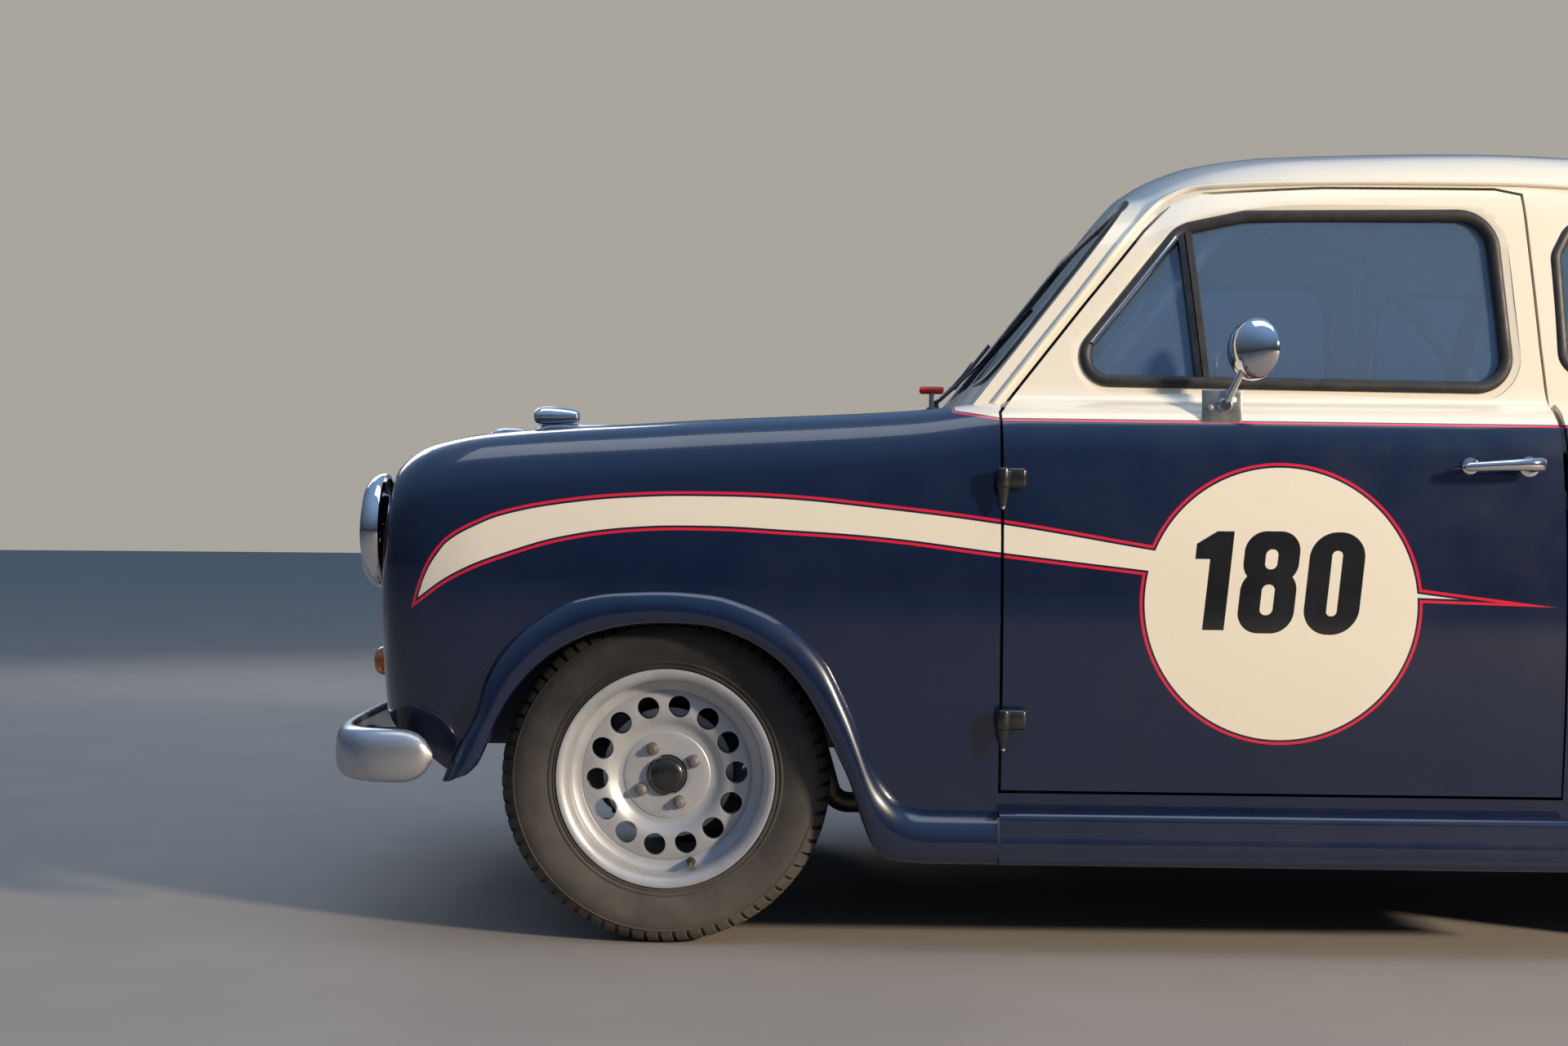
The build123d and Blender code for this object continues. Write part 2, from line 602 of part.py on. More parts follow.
# Floor: pans that fit inside the skin, tunnel, bulkheads, wheelhouses, rails and sills
FLOOR_Z = 160.0
REAR_FLOOR_Z = 400.0
SHEET = 12.0
BULKHEAD_S = 556.0
HEEL_S = 1640.0
TUNNEL_Y = 115.0
TUNNEL_TOP = 345.0
WHEELHOUSE = 312.0
WHEELHOUSE_Y = 462.0
RAIL_Y = 290.0
RAIL_WIDTH = 60.0
RAIL_Z = 300.0
RAIL_HEIGHT = 60.0
inside = body_half(SKIN)
pan = inside & block(BULKHEAD_S, HEEL_S, -1, 800, FLOOR_Z, FLOOR_Z + SHEET)
heel = inside & block(HEEL_S - SHEET, HEEL_S, -1, 640, FLOOR_Z, REAR_FLOOR_Z + SHEET)
rear_pan = inside & block(HEEL_S - SHEET, 2777, -1, 800, REAR_FLOOR_Z, REAR_FLOOR_Z + SHEET)
bulkhead = inside & block(BULKHEAD_S, BULKHEAD_S + SHEET, -1, 598, FLOOR_Z, 872)
bulkhead = bulkhead - across(door_hole, 300, 800)
tunnel = block(BULKHEAD_S, HEEL_S, 0, TUNNEL_Y, FLOOR_Z, TUNNEL_TOP)
tunnel = tunnel - block(BULKHEAD_S - 10, HEEL_S + 10, -1, TUNNEL_Y - SHEET, 0, TUNNEL_TOP - SHEET)
tunnel_room = block(BULKHEAD_S - 20, HEEL_S + 20, -1, TUNNEL_Y - SHEET, 0, TUNNEL_TOP - SHEET)
rail = block(-440, BULKHEAD_S, RAIL_Y, RAIL_Y + RAIL_WIDTH, RAIL_Z, RAIL_Z + RAIL_HEIGHT)
valance = block(-440, BULKHEAD_S, RAIL_Y + RAIL_WIDTH - 6, RAIL_Y + RAIL_WIDTH, RAIL_Z, 770)
cross_rail = inside & block(-470, -440, -1, RAIL_Y + RAIL_WIDTH, RAIL_Z + 70, RAIL_Z + 120)


def wheelhouse(axle_s):
    """Inner wheel arch: a round cover and its inner wall, above the rear floor."""
    centre = Pos(at(axle_s), TYRE_RADIUS)
    cover = across(centre * Circle(WHEELHOUSE) - centre * Circle(WHEELHOUSE - SHEET), WHEELHOUSE_Y, 760)
    wall = across(centre * Circle(WHEELHOUSE), WHEELHOUSE_Y - 6, WHEELHOUSE_Y)
    return inside & ((cover + wall) & block(axle_s - 400, axle_s + 400, 400, 800, REAR_FLOOR_Z - 60, 700))


wheel_room = across(Pos(at(WHEELBASE), TYRE_RADIUS) * Circle(WHEELHOUSE - SHEET), WHEELHOUSE_Y, 800)
sill = (outer + sill_roll) & block(DOOR_FRONT, 1690, 585, 800, 146, DOOR_BOTTOM - SHUT)
sill = sill - (skin & block(DOOR_REAR + SHUT, 1690, 560, 800, 0, 400))
sill = sill & block(DOOR_FRONT, DOOR_REAR + SHUT, 585, 800, 146, 400)
panels = wing + other_side(wing) + quarter + other_side(quarter)
floor_half = (pan - sill) + sill + heel + bulkhead
floor = whole(((floor_half - wheel_room) - tunnel_room) + tunnel) - panels
save(floor, "floor")
boot_floor = whole((rear_pan - wheel_room) + wheelhouse(WHEELBASE)) - panels - rear_panel - floor
save(boot_floor, "boot_floor")
front_frame = whole(rail + valance + cross_rail) - panels - front_panel - floor
save(front_frame, "front_frame")
floor = floor + boot_floor + front_frame

# Wheels: rim with hub and drum as one turning piece, and its tyre
rim_profile = [
    (STUB_RADIUS + RUN, -44), (DRUM_RADIUS, -44), (DRUM_RADIUS, 2), (BARREL - 6, 10), (BARREL, -60),
    (BARREL + 8, -RIM_HALF), (RIM_RADIUS, -RIM_HALF), (RIM_RADIUS, -RIM_HALF + 4), (165, -62), (165, 62),
    (RIM_RADIUS, RIM_HALF - 4), (RIM_RADIUS, RIM_HALF), (BARREL + 8, RIM_HALF - 2), (BARREL, 20), (143, 17),
    (125, 24), (96, 22), (HUB_PAD, 10), (CAP_RADIUS, 10), (CAP_RADIUS - 2, 26), (0, 30), (0, 10 + SEAT),
    (STUB_RADIUS + RUN, 10 + SEAT)]
tyre_profile = [(BEAD_RADIUS + 6, -62), (222, -TYRE_HALF), (262, -66), (TYRE_RADIUS, -54),
                (TYRE_RADIUS, 54), (262, 66), (222, TYRE_HALF), (BEAD_RADIUS + 6, 62)]


def turned(profile):
    """Profile of (radius, width) corners turned about the wheel's axis, outside towards the left."""
    face = make_face(Polyline(*[(r, y) for r, y in profile], close=True))
    return revolve(face, Axis.Y)


rim = turned(rim_profile)
for turn in range(HOLES):
    angle = math.radians((turn + 0.5) * 360 / HOLES)
    hole = Rot(90, 0, 0) * Cylinder(HOLE_RADIUS, 20)
    rim = rim - Pos(HOLE_CIRCLE * math.cos(angle), 17, HOLE_CIRCLE * math.sin(angle)) * hole


def faceted(profile):
    """Round solid through (radius, width) corners in flat facets, one of them flat on the ground."""
    turned_down = Rot(0, 0, 90 - 180 / TYRE_FACETS)
    reach = 1 / math.cos(math.pi / TYRE_FACETS)
    faces = [Plane.XZ.offset(-y) * turned_down * RegularPolygon(r * reach, TYRE_FACETS) for r, y in profile]
    return loft([face.face() for face in faces], ruled=True)


tyre = faceted(tyre_profile) - faceted([(BEAD_RADIUS, -TYRE_HALF), (BEAD_RADIUS, TYRE_HALF)])
for name, s, track in (("front", 0, TRACK_FRONT), ("rear", WHEELBASE, TRACK_REAR)):
    place = Pos(at(s), track / 2, TYRE_RADIUS)
    save(place * rim, f"wheel_{name}_left")
    save(other_side(place * rim), f"wheel_{name}_right")
    save(place * tyre, f"tyre_{name}_left")
    save(other_side(place * tyre), f"tyre_{name}_right")

# Knuckles that carry the front wheels on their kingpins
BACKPLATE_Y = -44 - SEAT
hub_y = TRACK_FRONT / 2
EYE_LOW, EYE_HIGH = 205.0, 345.0
boss = post(0, KINGPIN_Y, 24, EYE_LOW + SEAT, EYE_HIGH - SEAT)
neck = block(-30, 30, KINGPIN_Y, hub_y + BACKPLATE_Y - 2, 240, 310)
backplate = cross_pin(0, TYRE_RADIUS, DRUM_RADIUS - 2, hub_y + BACKPLATE_Y - 4, hub_y + BACKPLATE_Y)
stub = cross_pin(0, TYRE_RADIUS, STUB_RADIUS, hub_y + BACKPLATE_Y - 2, hub_y + 10)
steering_arm = block(20, 130, KINGPIN_Y - 12, KINGPIN_Y + 12, 208, 226)
knuckle = (boss + neck + backplate + stub + steering_arm) - post(0, KINGPIN_Y, KINGPIN_RADIUS + RUN, 100, 500)
save(knuckle, "knuckle_left")
save(other_side(knuckle), "knuckle_right")

# Front suspension: crossmember, wishbones, dampers and the kingpins
crossmember = block(-110, 110, 0, RAIL_Y + RAIL_WIDTH, 178, RAIL_Z)
pin = post(0, KINGPIN_Y, KINGPIN_RADIUS, 178, 372)
eyes = post(0, KINGPIN_Y, 22, 176, EYE_LOW) + post(0, KINGPIN_Y, 20, EYE_HIGH, 374)
lower_arms = tube([(-100, 330, 192), (-8, KINGPIN_Y - 6, 192)], 10, 0)
lower_arms = lower_arms + tube([(100, 330, 192), (8, KINGPIN_Y - 6, 192)], 10, 0)
upper_arms = tube([(-60, 349, 359), (-8, KINGPIN_Y - 8, 359)], 9, 0)
upper_arms = upper_arms + tube([(60, 349, 359), (8, KINGPIN_Y - 8, 359)], 9, 0)
spring_tower = block(-70, 70, RAIL_Y + RAIL_WIDTH, 446, 335, 347) + post(0, 402, 38, 192, 340)
spring_tower = spring_tower + block(-62, 62, 356, 446, 188, 197)
suspension = whole((crossmember + pin + eyes + lower_arms + upper_arms + spring_tower) - rail - valance)
save(suspension, "front_suspension")

# Rear axle with its leaf springs
rear_y = TRACK_REAR / 2
axle = cross_pin(WHEELBASE, TYRE_RADIUS, 36, 0, rear_y + BACKPLATE_Y - 2)
axle_end = cross_pin(WHEELBASE, TYRE_RADIUS, DRUM_RADIUS - 2, rear_y + BACKPLATE_Y - 4, rear_y + BACKPLATE_Y)
axle_end = axle_end + cross_pin(WHEELBASE, TYRE_RADIUS, STUB_RADIUS, rear_y + BACKPLATE_Y - 2, rear_y + 10)
SPRING_Y = 400.0
leaf_under = [(1660, 196), (1800, 216), (2019, 214), (2240, 226), (2470, 290)]
leaf_over = [(2470, 312), (2240, 252), (2019, 240), (1800, 240), (1660, 218)]
spring = across(side_face(leaf_under + leaf_over), SPRING_Y, SPRING_Y + 45)
spring = spring + block(1648, 1672, SPRING_Y, SPRING_Y + 45, 196, REAR_FLOOR_Z)
spring = spring + block(2455, 2485, SPRING_Y, SPRING_Y + 45, 296, REAR_FLOOR_Z)
differential = Pos(at(WHEELBASE), 0, TYRE_RADIUS) * Sphere(105)
rear_axle = whole(axle + axle_end + spring) + differential
save(rear_axle, "rear_axle")

# Engine as one block, with the gearbox and propeller shaft behind it
engine = block(-60, 430, -160, 160, RAIL_Z, 715)
save(engine, "engine")
gearbox = Pos(at(430 + 225), 0, 240) * Rot(0, -90, 0) * Cone(88, 55, 450)
shaft = Pos(at((880 + 1915) / 2), 0, 258) * Rot(0, 90, 0) * Cylinder(26, 1035 - 2 * SEAT)
save(gearbox - engine, "gearbox")
save(shaft - rear_axle, "propeller_shaft")

# Exhaust from the engine's side to the tail
exhaust = tube([(200, -160, 470), (200, -222, 470), (300, -222, 130), (1800, -222, 130),
                (2160, -222, 215), (2835, -222, 215)], 21, 40)
silencer = Pos(at(2380), -222, 215) * Rot(0, 90, 0) * Cylinder(58, 400)
hangers = block(1000, 1020, -232, -212, 140, FLOOR_Z) + block(2500, 2520, -232, -212, 225, REAR_FLOOR_Z)
exhaust = exhaust + silencer + hangers
save(exhaust, "exhaust")

# Cabin: dashboard, seat, steering wheel and column, roll cage
DRIVER_Y = -335.0
SEAT_HALF = 212.0
CAGE = 20.0
front_leg = [(612, 545, FLOOR_Z + SHEET), (612, 545, 820), (960, 425, 1240), (1430, 440, 1280)]
hoop = [(1450, 540, FLOOR_Z + SHEET), (1450, 552, 860), (1450, 450, 1285),
        (1450, -450, 1285), (1450, -552, 860), (1450, -540, FLOOR_Z + SHEET)]
stay_z = TYRE_RADIUS + WHEELHOUSE
cage = tube(hoop, CAGE, 110)
for side in (1, -1):
    cage = cage + tube([(s, side * y, z) for s, y, z in front_leg], CAGE, 60)
    cage = cage + tube([(1450, side * 440, 1285), (2010, side * 490, stay_z + 24)], CAGE, 0)
    cage = cage + block(1985, 2053, side * 490 - 25, side * 490 + 25, stay_z, stay_z + 12)
    cage = cage + tube([(612, side * 545, 480), (1450, side * 545, 480)], CAGE, 0)
cage = cage + tube([(1450, -542, 300), (1450, 430, 1270)], CAGE, 0)
cage = cage - floor
save(cage, "roll_cage")
dash_face = side_face([(BULKHEAD_S + SHEET, 872), (655, 872), (668, 850), (668, 780), (640, 735),
                       (BULKHEAD_S + SHEET, 735)])
dashboard = whole(across(dash_face, -1, 596))
for side in (1, -1):
    leg = [(612, side * 545, 0), (612, side * 545, 820), (960, side * 425, 1240)]
    dashboard = dashboard - tube(leg, CAGE + SEAT, 60)
column_axis = Vector(-0.92, 0, 0.39).normalized()
WHEEL_HUB = (868, DRIVER_Y, 862)
hub_point = Vector(at(WHEEL_HUB[0]), DRIVER_Y, WHEEL_HUB[2])
column_plane = Plane(origin=hub_point, x_dir=(0, 1, 0), z_dir=column_axis)
column = extrude(column_plane.offset(-300) * Circle(9), 310)
column = column + extrude(column_plane.offset(-300) * Circle(18), 270)
dashboard = (dashboard - floor) + (column & block(BULKHEAD_S + SHEET, 1000, -500, 0, 0, 1000))
save(dashboard, "dashboard")
BOLSTER = 60.0
seat_side = side_face([(1000, 172), (1000, 370), (1030, 392), (1290, 340), (1390, 900), (1425, 905),
                       (1425, 800), (1330, 172)], 12)
cushion_room = Pos(0, -40) * side_face([(990, 380), (1010, 420), (1275, 420), (1365, 860), (1300, 1000),
                                        (900, 1000), (900, 380)])
seat = across(seat_side, DRIVER_Y - SEAT_HALF, DRIVER_Y + SEAT_HALF)
seat = seat - across(cushion_room, DRIVER_Y - SEAT_HALF + BOLSTER, DRIVER_Y + SEAT_HALF - BOLSTER)
seat = seat - cage
save(seat, "driver_seat")
rim_ring = column_plane.offset(16) * Torus(172, 10)
wheel_hub = extrude(column_plane.offset(-28) * Circle(26), 48)
spokes = [column_plane.offset(16) * Rot(0, 0, turn) * Pos(92, 0, 0) * Box(164, 22, 5)
          for turn in (90, 210, 330)]
steering_wheel = rim_ring + wheel_hub
for spoke in spokes:
    steering_wheel = steering_wheel + spoke
steering_wheel = steering_wheel - extrude(column_plane.offset(-310) * Circle(9 + RUN), 320 + SEAT)
save(steering_wheel, "steering_wheel")

# Tail lamps, wipers and the cut-off pull
tail_lamp = Pos(at(2790) - 14, 408, 474) * Rot(0, 90, 0) * Cylinder(34, 28)
save(both_sides(tail_lamp - quarter), "tail_lamps")
wiper = post(465, 250, 7, 900, 926) + tube([(465, 250, 922), (541, 290, 985)], 5, 0)
wiper = wiper + tube([(541, 290, 985), (623, 400, 1085)], 5, 0)
wiper = wiper - scuttle - roof
save(both_sides(wiper), "wipers")
pull = post(444, 470, 6, 888, 935) + Pos(at(444), 470, 934) * Rot(0, 90, 0) * Cylinder(6, 42)
save(pull - scuttle, "cut_off_pull")
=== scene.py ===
"""Looks of a small 1950s two-door saloon in historic race trim: paint, wheels, glass and fittings."""

import math

import bmesh
import bpy
import numpy as np
from mathutils import Matrix, Vector


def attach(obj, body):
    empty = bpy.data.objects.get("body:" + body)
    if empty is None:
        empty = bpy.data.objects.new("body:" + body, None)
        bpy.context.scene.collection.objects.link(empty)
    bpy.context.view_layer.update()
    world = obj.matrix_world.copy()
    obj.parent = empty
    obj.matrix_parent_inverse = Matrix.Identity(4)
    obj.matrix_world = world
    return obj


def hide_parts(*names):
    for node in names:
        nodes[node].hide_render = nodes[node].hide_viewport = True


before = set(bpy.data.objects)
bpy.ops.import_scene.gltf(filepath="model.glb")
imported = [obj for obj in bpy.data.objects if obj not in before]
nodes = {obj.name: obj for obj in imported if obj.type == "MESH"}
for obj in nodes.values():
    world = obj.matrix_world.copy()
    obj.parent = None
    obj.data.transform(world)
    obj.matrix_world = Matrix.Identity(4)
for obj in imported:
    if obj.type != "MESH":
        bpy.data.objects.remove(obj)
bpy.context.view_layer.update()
bpy.ops.object.select_all(action="DESELECT")

# The studio: a pale floor on all sides, a soft sky and three large soft lamps.
# The camera stands beside the front wheel at hip height and looks straight across the car.
CAMERA_PLACE = (0.956, 4.2485, 0.701)
CAMERA_ROLL = 0.0131
AXLE_X = 1.147


def at(s):
    """X in metres of a station in millimetres behind the front axle."""
    return AXLE_X - s / 1000


def new_material(name):
    """Material with its Principled shader and the node tree to work in."""
    material = bpy.data.materials.new(name)
    material.use_nodes = True
    return material, material.node_tree, material.node_tree.nodes["Principled BSDF"]


def joined(tree, *pairs):
    """Link pairs of (output, input)."""
    for output, entry in pairs:
        tree.links.new(output, entry)


def fed(tree, socket, value):
    """Set an input to a number or a colour, or link another node's output to it."""
    if isinstance(value, tuple):
        socket.default_value = (*value, 1)
    elif isinstance(value, (int, float)):
        socket.default_value = value
    else:
        tree.links.new(value, socket)


def held(shader, values):
    """Set constants on a shader's own sockets."""
    for name, value in values.items():
        shader.inputs[name].default_value = value


def math_node(tree, operation, a, b=None, c=None, clamp=False):
    """Math node whose inputs are numbers or sockets; gives its output."""
    node = tree.nodes.new("ShaderNodeMath")
    node.operation = operation
    node.use_clamp = clamp
    for socket, value in zip(node.inputs, (a, b, c)):
        if value is not None:
            fed(tree, socket, value)
    return node.outputs[0]


def mixed(tree, mask, below, above):
    """Colour mix; colours are tuples or sockets."""
    node = tree.nodes.new("ShaderNodeMix")
    node.data_type = "RGBA"
    for socket, value in ((node.inputs["Factor"], mask), (node.inputs[6], below), (node.inputs[7], above)):
        fed(tree, socket, value)
    return node.outputs[2]


def spread(tree, value, low, high, out_low, out_high):
    """Value mapped from one range to another."""
    node = tree.nodes.new("ShaderNodeMapRange")
    names = ("Value", "From Min", "From Max", "To Min", "To Max")
    for name, number in zip(names, (value, low, high, out_low, out_high)):
        fed(tree, node.inputs[name], number)
    return node.outputs[0]


def object_noise(tree, scale, detail=4.0, rough=0.5):
    """Noise in object space; gives its value."""
    noise = tree.nodes.new("ShaderNodeTexNoise")
    for name, value in (("Scale", scale), ("Detail", detail), ("Roughness", rough)):
        fed(tree, noise.inputs[name], value)
    joined(tree, (tree.nodes.new("ShaderNodeTexCoord").outputs["Object"], noise.inputs["Vector"]))
    return noise.outputs["Fac"]


def bumped(tree, height, strength, distance):
    """Bump from a height; gives the normal."""
    node = tree.nodes.new("ShaderNodeBump")
    for name, value in (("Height", height), ("Strength", strength), ("Distance", distance)):
        fed(tree, node.inputs[name], value)
    return node.outputs[0]


def place_of(tree):
    """X, Y and Z in object space."""
    split = tree.nodes.new("ShaderNodeSeparateXYZ")
    joined(tree, (tree.nodes.new("ShaderNodeTexCoord").outputs["Object"], split.inputs[0]))
    return tuple(split.outputs)


bpy.ops.mesh.primitive_circle_add(vertices=96, radius=40, fill_type="NGON", location=(0, 0, 0))
floor = bpy.context.object
floor.name = "studio_floor"
floor_paint, tree, shader = new_material("studio_floor")
tone = mixed(tree, object_noise(tree, 3.0, 6.0), (0.27, 0.235, 0.20), (0.33, 0.29, 0.25))
joined(tree, (tone, shader.inputs["Base Color"]))
held(shader, {"Roughness": 0.85, "Specular IOR Level": 0.2})
floor.data.materials.append(floor_paint)

world = bpy.data.worlds.new("studio")
bpy.context.scene.world = world
world.use_nodes = True
tree = world.node_tree
background = tree.nodes["Background"]
direction = tree.nodes.new("ShaderNodeTexCoord").outputs["Generated"]
split = tree.nodes.new("ShaderNodeSeparateXYZ")
joined(tree, (direction, split.inputs[0]))
ramp = tree.nodes.new("ShaderNodeValToRGB")
ramp.color_ramp.elements[0].position = 0.0
ramp.color_ramp.elements[0].color = (0.05, 0.045, 0.04, 1)
ramp.color_ramp.elements[1].position = 0.75
ramp.color_ramp.elements[1].color = (0.27, 0.46, 0.80, 1)
horizon = ramp.color_ramp.elements.new(0.12)
horizon.color = (0.09, 0.12, 0.16, 1)
joined(tree, (split.outputs["Z"], ramp.inputs[0]))
path = tree.nodes.new("ShaderNodeLightPath")
sky = mixed(tree, path.outputs["Is Camera Ray"], ramp.outputs[0], (0.50, 0.475, 0.42))
joined(tree, (sky, background.inputs["Color"]))
background.inputs["Strength"].default_value = 0.8


def soft_lamp(name, place, target, size, power, colour):
    """Rectangular soft lamp that faces a point."""
    lamp = bpy.data.lights.new(name, "AREA")
    lamp.shape = "RECTANGLE"
    lamp.size, lamp.size_y = size
    lamp.energy = power
    lamp.color = colour
    holder = bpy.data.objects.new(name, lamp)
    holder.location = place
    holder.rotation_euler = (Vector(target) - Vector(place)).to_track_quat("-Z", "Y").to_euler()
    bpy.context.scene.collection.objects.link(holder)


soft_lamp("key_lamp", (-7.5, 6.6, 3.9), (0.5, 0.3, 0.5), (0.9, 0.9), 1500, (1.0, 0.84, 0.64))
soft_lamp("top_lamp", (0.6, 1.2, 5.2), (0.2, 0, 0.6), (5.5, 2.2), 70, (0.86, 0.93, 1.0))
soft_lamp("far_lamp", (3.5, -5.5, 3.6), (0, 0, 0.6), (3.5, 2.5), 90, (0.9, 0.95, 1.0))

lens = bpy.data.cameras.new("camera")
lens.lens = 50
lens.sensor_width = 36
camera = bpy.data.objects.new("camera", lens)
camera.matrix_world = (Matrix.Translation(CAMERA_PLACE) @ Matrix.Rotation(math.pi, 4, "Z")
                       @ Matrix.Rotation(math.pi / 2, 4, "X") @ Matrix.Rotation(CAMERA_ROLL, 4, "Z"))
bpy.context.scene.collection.objects.link(camera)
bpy.context.scene.camera = camera
bpy.context.scene.view_settings.view_transform = "Standard"


# Body skin: pressed steel sheet, shaped here as one smooth surface through the measured cross-sections.
# Every outer panel below is cut from it, so the reflections run on across the shut lines.
MM = 0.001
BODY = np.array([
    (-488, 420, 500, 560, 560, 545, 690, 330, 700, 712, 8),
    (-478, 380, 550, 607, 560, 590, 740, 345, 745, 762, 12),
    (-455, 350, 590, 645, 560, 628, 778, 360, 782, 803, 16),
    (-400, 310, 620, 672, 560, 655, 806, 375, 812, 838, 20),
    (-300, 250, 640, 686, 560, 668, 822, 390, 832, 860, 22),
    (0, 200, 650, 690, 560, 672, 844, 405, 854, 893, 22),
    (400, 146, 655, 690, 560, 672, 876, 430, 880, 911, 16),
    (600, 146, 655, 690, 560, 668, 904, 450, 908, 918, 8),
    (1500, 146, 655, 690, 560, 668, 908, 450, 925, 935, 6),
    (1950, 146, 650, 690, 560, 668, 904, 440, 930, 945, 8),
    (2200, 170, 640, 682, 570, 652, 868, 400, 925, 952, 14),
    (2450, 240, 600, 660, 550, 622, 800, 380, 862, 890, 16),
    (2620, 300, 545, 616, 520, 582, 712, 340, 768, 800, 14),
    (2730, 340, 480, 556, 490, 526, 622, 300, 662, 692, 12),
    (2790, 380, 400, 470, 470, 450, 545, 250, 570, 592, 8)], float)
ROOF = np.array([
    (440, 604, 516, 1205, 1275), (800, 610, 534, 1250, 1320), (860, 611, 538, 1274, 1354),
    (940, 612, 541, 1298, 1383), (1080, 614, 546, 1318, 1400), (1420, 614, 550, 1330, 1408),
    (1700, 612, 546, 1318, 1396), (1950, 604, 532, 1266, 1345), (2150, 590, 512, 1175, 1250),
    (2340, 566, 484, 1060, 1120)], float)
SIDE_STEPS, SHOULDER_STEPS, TOP_STEPS, CROWN_STEPS = 26, 12, 12, 20


def slopes_along(spots, values):
    """Slope at each table row that keeps the curve between rows free of overshoot."""
    rise = np.diff(values, axis=0) / np.diff(spots)[:, None]
    slope = np.vstack([rise[:1], np.zeros_like(values[1:-1]), rise[-1:]])
    before, after = rise[:-1], rise[1:]
    same = before * after > 0
    slope[1:-1] = np.where(same, 2 * before * after / np.where(same, before + after, 1), 0)
    return slope


def through_rows(table, stations):
    """Table columns at other stations, smooth through every row."""
    spots, values = table[:, 0], table[:, 1:]
    slope = slopes_along(spots, values)
    index = np.clip(np.searchsorted(spots, stations, side="right") - 1, 0, len(spots) - 2)
    gap = (spots[index + 1] - spots[index])[:, None]
    t = ((stations - spots[index])[:, None]) / gap
    a, b = values[index], values[index + 1]
    return ((2 * t**3 - 3 * t**2 + 1) * a + (t**3 - 2 * t**2 + t) * gap * slope[index]
            + (3 * t**2 - 2 * t**3) * b + (t**3 - t**2) * gap * slope[index + 1])


def arc_through(start, middle, end, steps):
    """Points on the circle arc through three points."""
    a, b, c = (np.array(p, float) for p in (start, middle, end))
    d = 2 * ((a[0] - c[0]) * (b[1] - c[1]) - (b[0] - c[0]) * (a[1] - c[1]))
    if abs(d) < 1e-6:
        return a + (c - a) * np.linspace(0, 1, steps)[:, None]
    aa, bb, cc = (p @ p for p in (a, b, c))
    centre = np.array([((aa - cc) * (b[1] - c[1]) - (bb - cc) * (a[1] - c[1])) / d,
                       ((bb - cc) * (a[0] - c[0]) - (aa - cc) * (b[0] - c[0])) / d])
    radius = math.dist(a, centre)
    turn = [math.atan2(*(p - centre)[::-1]) for p in (a, b, c)]
    sweep = (turn[2] - turn[0]) % math.tau
    if (turn[1] - turn[0]) % math.tau > sweep:
        sweep -= math.tau
    angles = turn[0] + sweep * np.linspace(0, 1, steps)
    return centre + radius * np.column_stack([np.cos(angles), np.sin(angles)])


def walked(points, start, end, steps):
    """Points at even distances along a polyline between two distances from its start."""
    lengths = np.concatenate([[0], np.cumsum(np.linalg.norm(np.diff(points, axis=0), axis=1))])
    spots = np.linspace(start, lengths[-1] - end, steps)
    return np.column_stack([np.interp(spots, lengths, points[:, i]) for i in (0, 1)])


def eased(before, after, reach_before, reach_after, steps):
    """Round corner between two curves that meet; the curves without their corner, and the corner."""
    first = walked(before, 0, reach_before, len(before))
    second = walked(after, reach_after, 0, len(after))
    corner = before[-1]
    handle_a = first[-1] + (corner - first[-1]) * 0.62
    handle_b = second[0] + (corner - second[0]) * 0.62
    t = np.linspace(0, 1, steps)[:, None]
    start, end = (1 - t)**3 * first[-1], t**3 * second[0]
    bend = start + 3 * (1 - t)**2 * t * handle_a + 3 * (1 - t) * t**2 * handle_b + end
    return first, bend, second


def body_profile(row):
    """Half cross-section from the sill's edge up the side, over the wing and to the centre line."""
    bottom_z, bottom_y, wide_y, wide_z, top_y, top_z, edge_y, edge_z, crown, rise = row
    side = arc_through((bottom_y, bottom_z), (wide_y, wide_z), (top_y, top_z), SIDE_STEPS)
    middle = ((top_y + edge_y) / 2, (top_z + edge_z) / 2 + rise)
    top = arc_through((top_y, top_z), middle, (edge_y, edge_z), TOP_STEPS)
    drop = crown - edge_z
    radius = (edge_y**2 + drop**2) / (2 * drop)
    half = edge_y / 2
    over = arc_through((edge_y, edge_z), (half, crown - radius + math.sqrt(radius**2 - half**2)), (0, crown),
                       CROWN_STEPS)
    side, shoulder, top = eased(side, top, 72, 72, SHOULDER_STEPS)
    top, edge, over = eased(top, over, 40, 40, 6)
    return np.vstack([side, shoulder[1:-1], top, edge[1:-1], over])


def roof_profile(roof_row, foot_z=880.0):
    """Half cross-section of the glasshouse: side wall, roof corner and crown."""
    foot_y, corner_y, corner_z, crown = roof_row
    foot, corner = np.array((foot_y, foot_z)), np.array((corner_y, corner_z))
    wall = arc_through(foot, (foot + corner) / 2 + (6, 0), corner, 60)
    drop = crown - corner_z
    radius = (corner_y**2 + drop**2) / (2 * drop)
    half = corner_y / 2
    over = arc_through(corner, (half, crown - radius + math.sqrt(radius**2 - half**2)), (0, crown), 40)
    first, bend, second = eased(wall, over, 95, 95, 14)
    return np.vstack([walked(first, 0, 0, 30), bend[1:-1], walked(second, 0, 0, 24)])


def cabin_profile(row, roof_row):
    """Half cross-section through a door: side, shoulder, hollow curve into the glasshouse wall, crown."""
    low, high = body_profile(row), roof_profile(roof_row)
    wall_y = np.interp(low[:, 1], high[:, 1], high[:, 0])
    meet = next(i for i in range(len(low)) if low[i, 1] > 882 and low[i, 0] <= wall_y[i])
    lower = np.vstack([low[:meet], [[wall_y[meet], low[meet, 1]]]])
    upper = np.vstack([lower[-1:], high[high[:, 1] > low[meet, 1] + 2]])
    first, bend, second = eased(lower, upper, 16, 30, 10)
    return np.vstack([walked(first, 0, 0, 44), bend[1:-1], walked(second, 0, 0, 60)])


